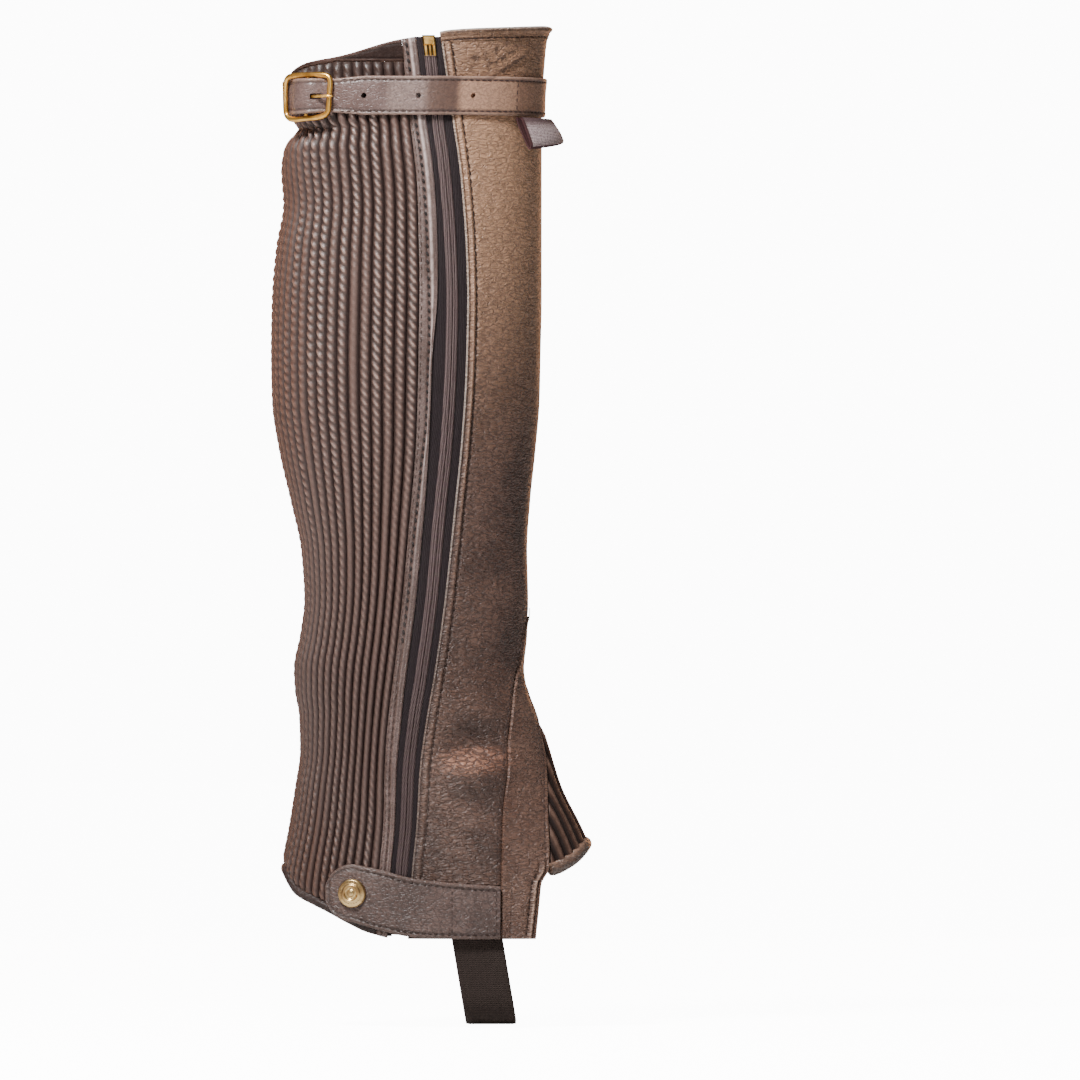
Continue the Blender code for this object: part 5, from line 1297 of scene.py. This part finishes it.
# Snap cap
# A pressed cap of pale brass with a domed middle, a ring of fine beads and a rolled rim.
seat_lift = RIB_PEAK + CLEAR + TAB_LEATHER + 0.3
cap_profile = smooth_curve(((0.0, 2.6), (1.2, 2.5), (1.7, 1.9), (2.4, 1.7), (3.0, 1.9), (3.6, 2.6),
                            (4.2, 2.4), (4.8, 1.85), (5.6, 1.8), (6.2, 1.7), (6.8, 0.9),
                            (7.0, 0.3)))
cap_girth = float(girth_at(SNAP_X, SNAP_Z))
centre = on_leg(cap_girth, SNAP_Z, seat_lift)
out_way = on_leg(cap_girth, SNAP_Z, seat_lift + 1.0) - centre
side_way = unit(np.cross(out_way, (0, 0, 1.0)))
up_way = np.cross(side_way, out_way)
# Its last two rings close it underneath
radii = np.concatenate(([0.02], np.linspace(0.3, 7.0, 44), [6.8, 6.0]))[:, None]
around = 2 * math.pi * np.arange(96) / 96
rise = cap_profile(radii) + 0.16 * (0.5 + 0.5 * np.cos(24 * around)) * hump(radii, 5.15, 0.32)
rise[-2:] = 0.0
points = (centre + (radii * np.cos(around))[..., None] * side_way
          + (radii * np.sin(around))[..., None] * up_way + rise[..., None] * out_way)
pale_brass = metal_finish("pale_brass", (0.34, 0.21, 0.09), (0.62, 0.44, 0.21), 0.26)
make_piece("snap_cap_disc", points, ring_faces(len(radii), 96), points, pale_brass,
           ("snap_cap",), 50.0)


# Elastic
# A woven elastic strap that goes under the foot from hem to hem, sewn inside the wrap.
ELASTIC_WIDTH, ELASTIC_THICK, ELASTIC_X, ELASTIC_FOOT_X = 24.0, 1.4, 27.4, 34.3
ELASTIC_TOP, ELASTIC_FOOT, ELASTIC_HALF, ELASTIC_TURN = -392.0, -444.0, 36.0, 14.0
lean = (ELASTIC_FOOT_X - ELASTIC_X) / (PIECE_LOW - ELASTIC_FOOT)
turn_z = ELASTIC_FOOT + ELASTIC_TURN + ELASTIC_THICK / 2
outer_rows, inner_rows, run_rows = [], [], []
for across in np.linspace(-0.5, 0.5, 17) * ELASTIC_WIDTH:
    # Down inside the wrap, in to the sole's width, round the turn and across to the other side
    down = []
    for z in (ELASTIC_TOP, -394.0, -397.0, -400.0, PIECE_LOW):
        down.append((on_leg(girth_at(ELASTIC_X + across, z), z, -0.4 - ELASTIC_THICK / 2)[1], z))
    start_y = down[-1][0]
    for share in (0.2, 0.4, 0.6, 0.8, 1.0):
        ease = share * share * (3 - 2 * share)
        down.append((between(start_y, -ELASTIC_HALF, ease), PIECE_LOW - 14.0 * share))
    down.append((-ELASTIC_HALF, turn_z + 6))
    for angle in np.radians(9 * np.arange(11)):
        down.append((-ELASTIC_HALF + ELASTIC_TURN * (1 - math.cos(angle)),
                     turn_z - ELASTIC_TURN * math.sin(angle)))
    half = np.array([(ELASTIC_X + across + lean * max(PIECE_LOW - z, 0), y, z) for y, z in down])
    flat_part = np.linspace(half[-1], half[-1] * (1, -1, 1), 14)[1:-1]
    path = np.concatenate((half, flat_part, half[::-1] * (1, -1, 1)))
    normal = unit(np.gradient(path, axis=0)[:, ::-1] * (1, -1, 0))[:, [2, 0, 1]]
    thin = ELASTIC_THICK / 2 * (0.55 if abs(across) > 11.9 else 1.0)
    outer_rows.append(path + normal * thin)
    inner_rows.append(path - normal * thin)
    run_rows.append(np.stack(np.broadcast_arrays(across, walked_along(path), FAR), -1))
elastic_weave = woven_finish("elastic_weave", (0.010, 0.007, 0.006), (0.040, 0.028, 0.024),
                             (1.35, 0.9), 0.85, bands="Y")
elastic = cloth_shell("foot_elastic", outer_rows, inner_rows,
                      grid_quads(numbered((len(run_rows), len(path)))), run_rows, elastic_weave,
                      ("stirrup_elastic",))


# Label
# A folded woven label sewn in under the strap. It is left without words, its face a plain pale.
label_path = np.array(((3.4, -10.3), (3.6, -11.6), (4.0, -13.0), (5.2, -15.3), (6.6, -17.6),
                       (8.2, -20.2), (9.6, -22.4), (10.3, -23.3), (11.0, -23.5), (11.7, -23.2),
                       (12.0, -22.0), (11.2, -19.8), (10.2, -17.6), (9.0, -15.4), (7.8, -13.2),
                       (6.9, -11.6), (6.3, -10.6)))
LABEL_GIRTH, LABEL_LINE = 3.0, -10.3
label_along = np.linspace(0, 30.0, 31)[:, None]
# It hangs lower at its outer end
label_drop = np.linspace(0.88, 1.16, len(label_along))[:, None]
shift = unit(np.gradient(label_path, axis=0))[:, ::-1] * (1, -1) * 0.35
sides = []
for side in (label_path + shift, label_path - shift):
    height = LABEL_LINE + (side[:, 1] - LABEL_LINE) * label_drop
    sides.append(on_leg(LABEL_GIRTH + label_along, height, side[:, 0]))
cloth = np.stack(np.broadcast_arrays(label_along, walked_along(label_path), 0.0), -1)
tree = Finish("label_weave", 0.75, shine=0.25)
satin, weft = tree.threads(tree.along, 0.5), tree.threads(tree.up, 0.7)
pale = tree.times(tree.times(tree.step(tree.along, 0.6, 1.2), tree.step(tree.along, 28.8, 29.4, 1.0, 0.0)),
                  tree.times(tree.step(tree.up, 16.6, 17.2), tree.step(tree.up, 24.5, 29.0, 1.0, 0.15)))
pale = tree.times(pale, tree.step(tree.noise(tree.run, 1.1, 2.0), 0.34, 0.60, 0.50, 1.0))
ground = tree.blend(tree.step(satin, -1.0, 1.0), (0.024, 0.008, 0.009), (0.060, 0.020, 0.021))
faced = tree.blend(tree.step(weft, -1.0, 1.0), (0.26, 0.19, 0.19), (0.56, 0.45, 0.45))
label_weave = tree.dressed(tree.blend(pale, ground, faced), tree.sums("ADD", satin, pale), 0.08, 0.6)
label = cloth_shell("woven_label", sides[0], sides[1], grid_quads(numbered(cloth.shape[:2])), cloth,
                    label_weave, ("label",))


# Studio
# Seen level from the outer side on a pale floor, under large soft lights.
camera = bpy.data.objects.new("camera", bpy.data.cameras.new("camera"))
bpy.context.scene.collection.objects.link(camera)
# Metres to the leg's middle and across the photo's frame there, and the film's millimetres
CAMERA_AWAY, FRAME_WIDTH, FILM_WIDTH = 8.0, 0.5184, 36.0
camera.data.sensor_width = FILM_WIDTH
camera.data.lens = FILM_WIDTH * CAMERA_AWAY / FRAME_WIDTH
camera.data.clip_end = 100.0
camera.location = (0.0576, -CAMERA_AWAY, -0.2122)
camera.rotation_euler = (math.pi / 2, 0.0, 0.0)
bpy.context.scene.camera = camera

FLOOR_Z, GLOW = -0.4455, 12.0
floor_mesh = bpy.data.meshes.new("floor")
floor_mesh.from_pydata([(-8, -9, FLOOR_Z), (8, -9, FLOOR_Z), (8, 8, FLOOR_Z), (-8, 8, FLOOR_Z)], [],
                       [(0, 1, 2, 3)])
floor = bpy.data.objects.new("floor", floor_mesh)
bpy.context.scene.collection.objects.link(floor)
floor_finish = bpy.data.materials.new("floor_white")
floor_finish.use_nodes = True
floor_mesh.materials.append(floor_finish)
world = bpy.context.scene.world or bpy.data.worlds.new("studio")
bpy.context.scene.world = world
world.use_nodes = True

# Floor and backdrop glow white for the camera alone
tree = Shading(floor_finish.node_tree)
floor_shader = floor_finish.node_tree.nodes["Principled BSDF"]
tree.feed(floor_shader.inputs["Base Color"], (0.80, 0.79, 0.78))
tree.feed(floor_shader.inputs["Roughness"], 0.9)
glow = tree.node("Emission", {"Color": (1, 1, 1), "Strength": GLOW})[0]
lit = tree.node("AddShader", {0: floor_shader.outputs[0], 1: glow})[0]
seen = tree.node("LightPath")["Is Camera Ray"]
mixed = tree.node("MixShader", {0: seen, 1: floor_shader.outputs[0], 2: lit})[0]
tree.feed(floor_finish.node_tree.nodes["Material Output"].inputs["Surface"], mixed)
tree = Shading(world.node_tree)
around = tree.node("Background", {"Color": (1.0, 0.97, 0.94), "Strength": 0.16})[0]
white = tree.node("Background", {"Color": (1, 1, 1), "Strength": GLOW})[0]
seen = tree.node("LightPath")["Is Camera Ray"]
mixed = tree.node("MixShader", {0: seen, 1: around, 2: white})[0]
tree.feed(world.node_tree.nodes["World Output"].inputs["Surface"], mixed)


def soft_light(name, place, target, size, power, colour=(1, 1, 1)):
    lamp = bpy.data.lights.new(name, "AREA")
    lamp.shape = "RECTANGLE"
    lamp.size, lamp.size_y = size
    lamp.energy = power
    lamp.color = colour
    made = bpy.data.objects.new(name, lamp)
    made.location = place
    made.rotation_euler = (Vector(target) - Vector(place)).to_track_quat("-Z", "Y").to_euler()
    bpy.context.scene.collection.objects.link(made)


soft_light("key", (-0.52, -0.92, 1.00), (0, 0, -0.12), (0.34, 0.30), 60.0)
soft_light("side_left", (-1.5, -0.7, 0.1), (0, 0, -0.2), (0.3, 1.4), 2.4, (1.0, 0.70, 0.50))
soft_light("front", (0.3, -2.6, 0.1), (0, 0, -0.2), (0.9, 1.2), 7.0)
soft_light("rim_right", (0.55, 1.7, 0.0), (0, 0, -0.2), (0.3, 1.2), 6.0, (1.0, 0.45, 0.20))
soft_light("rim_left", (-0.55, 1.7, 0.0), (0, 0, -0.2), (0.3, 1.2), 7.0, (1.0, 0.48, 0.24))
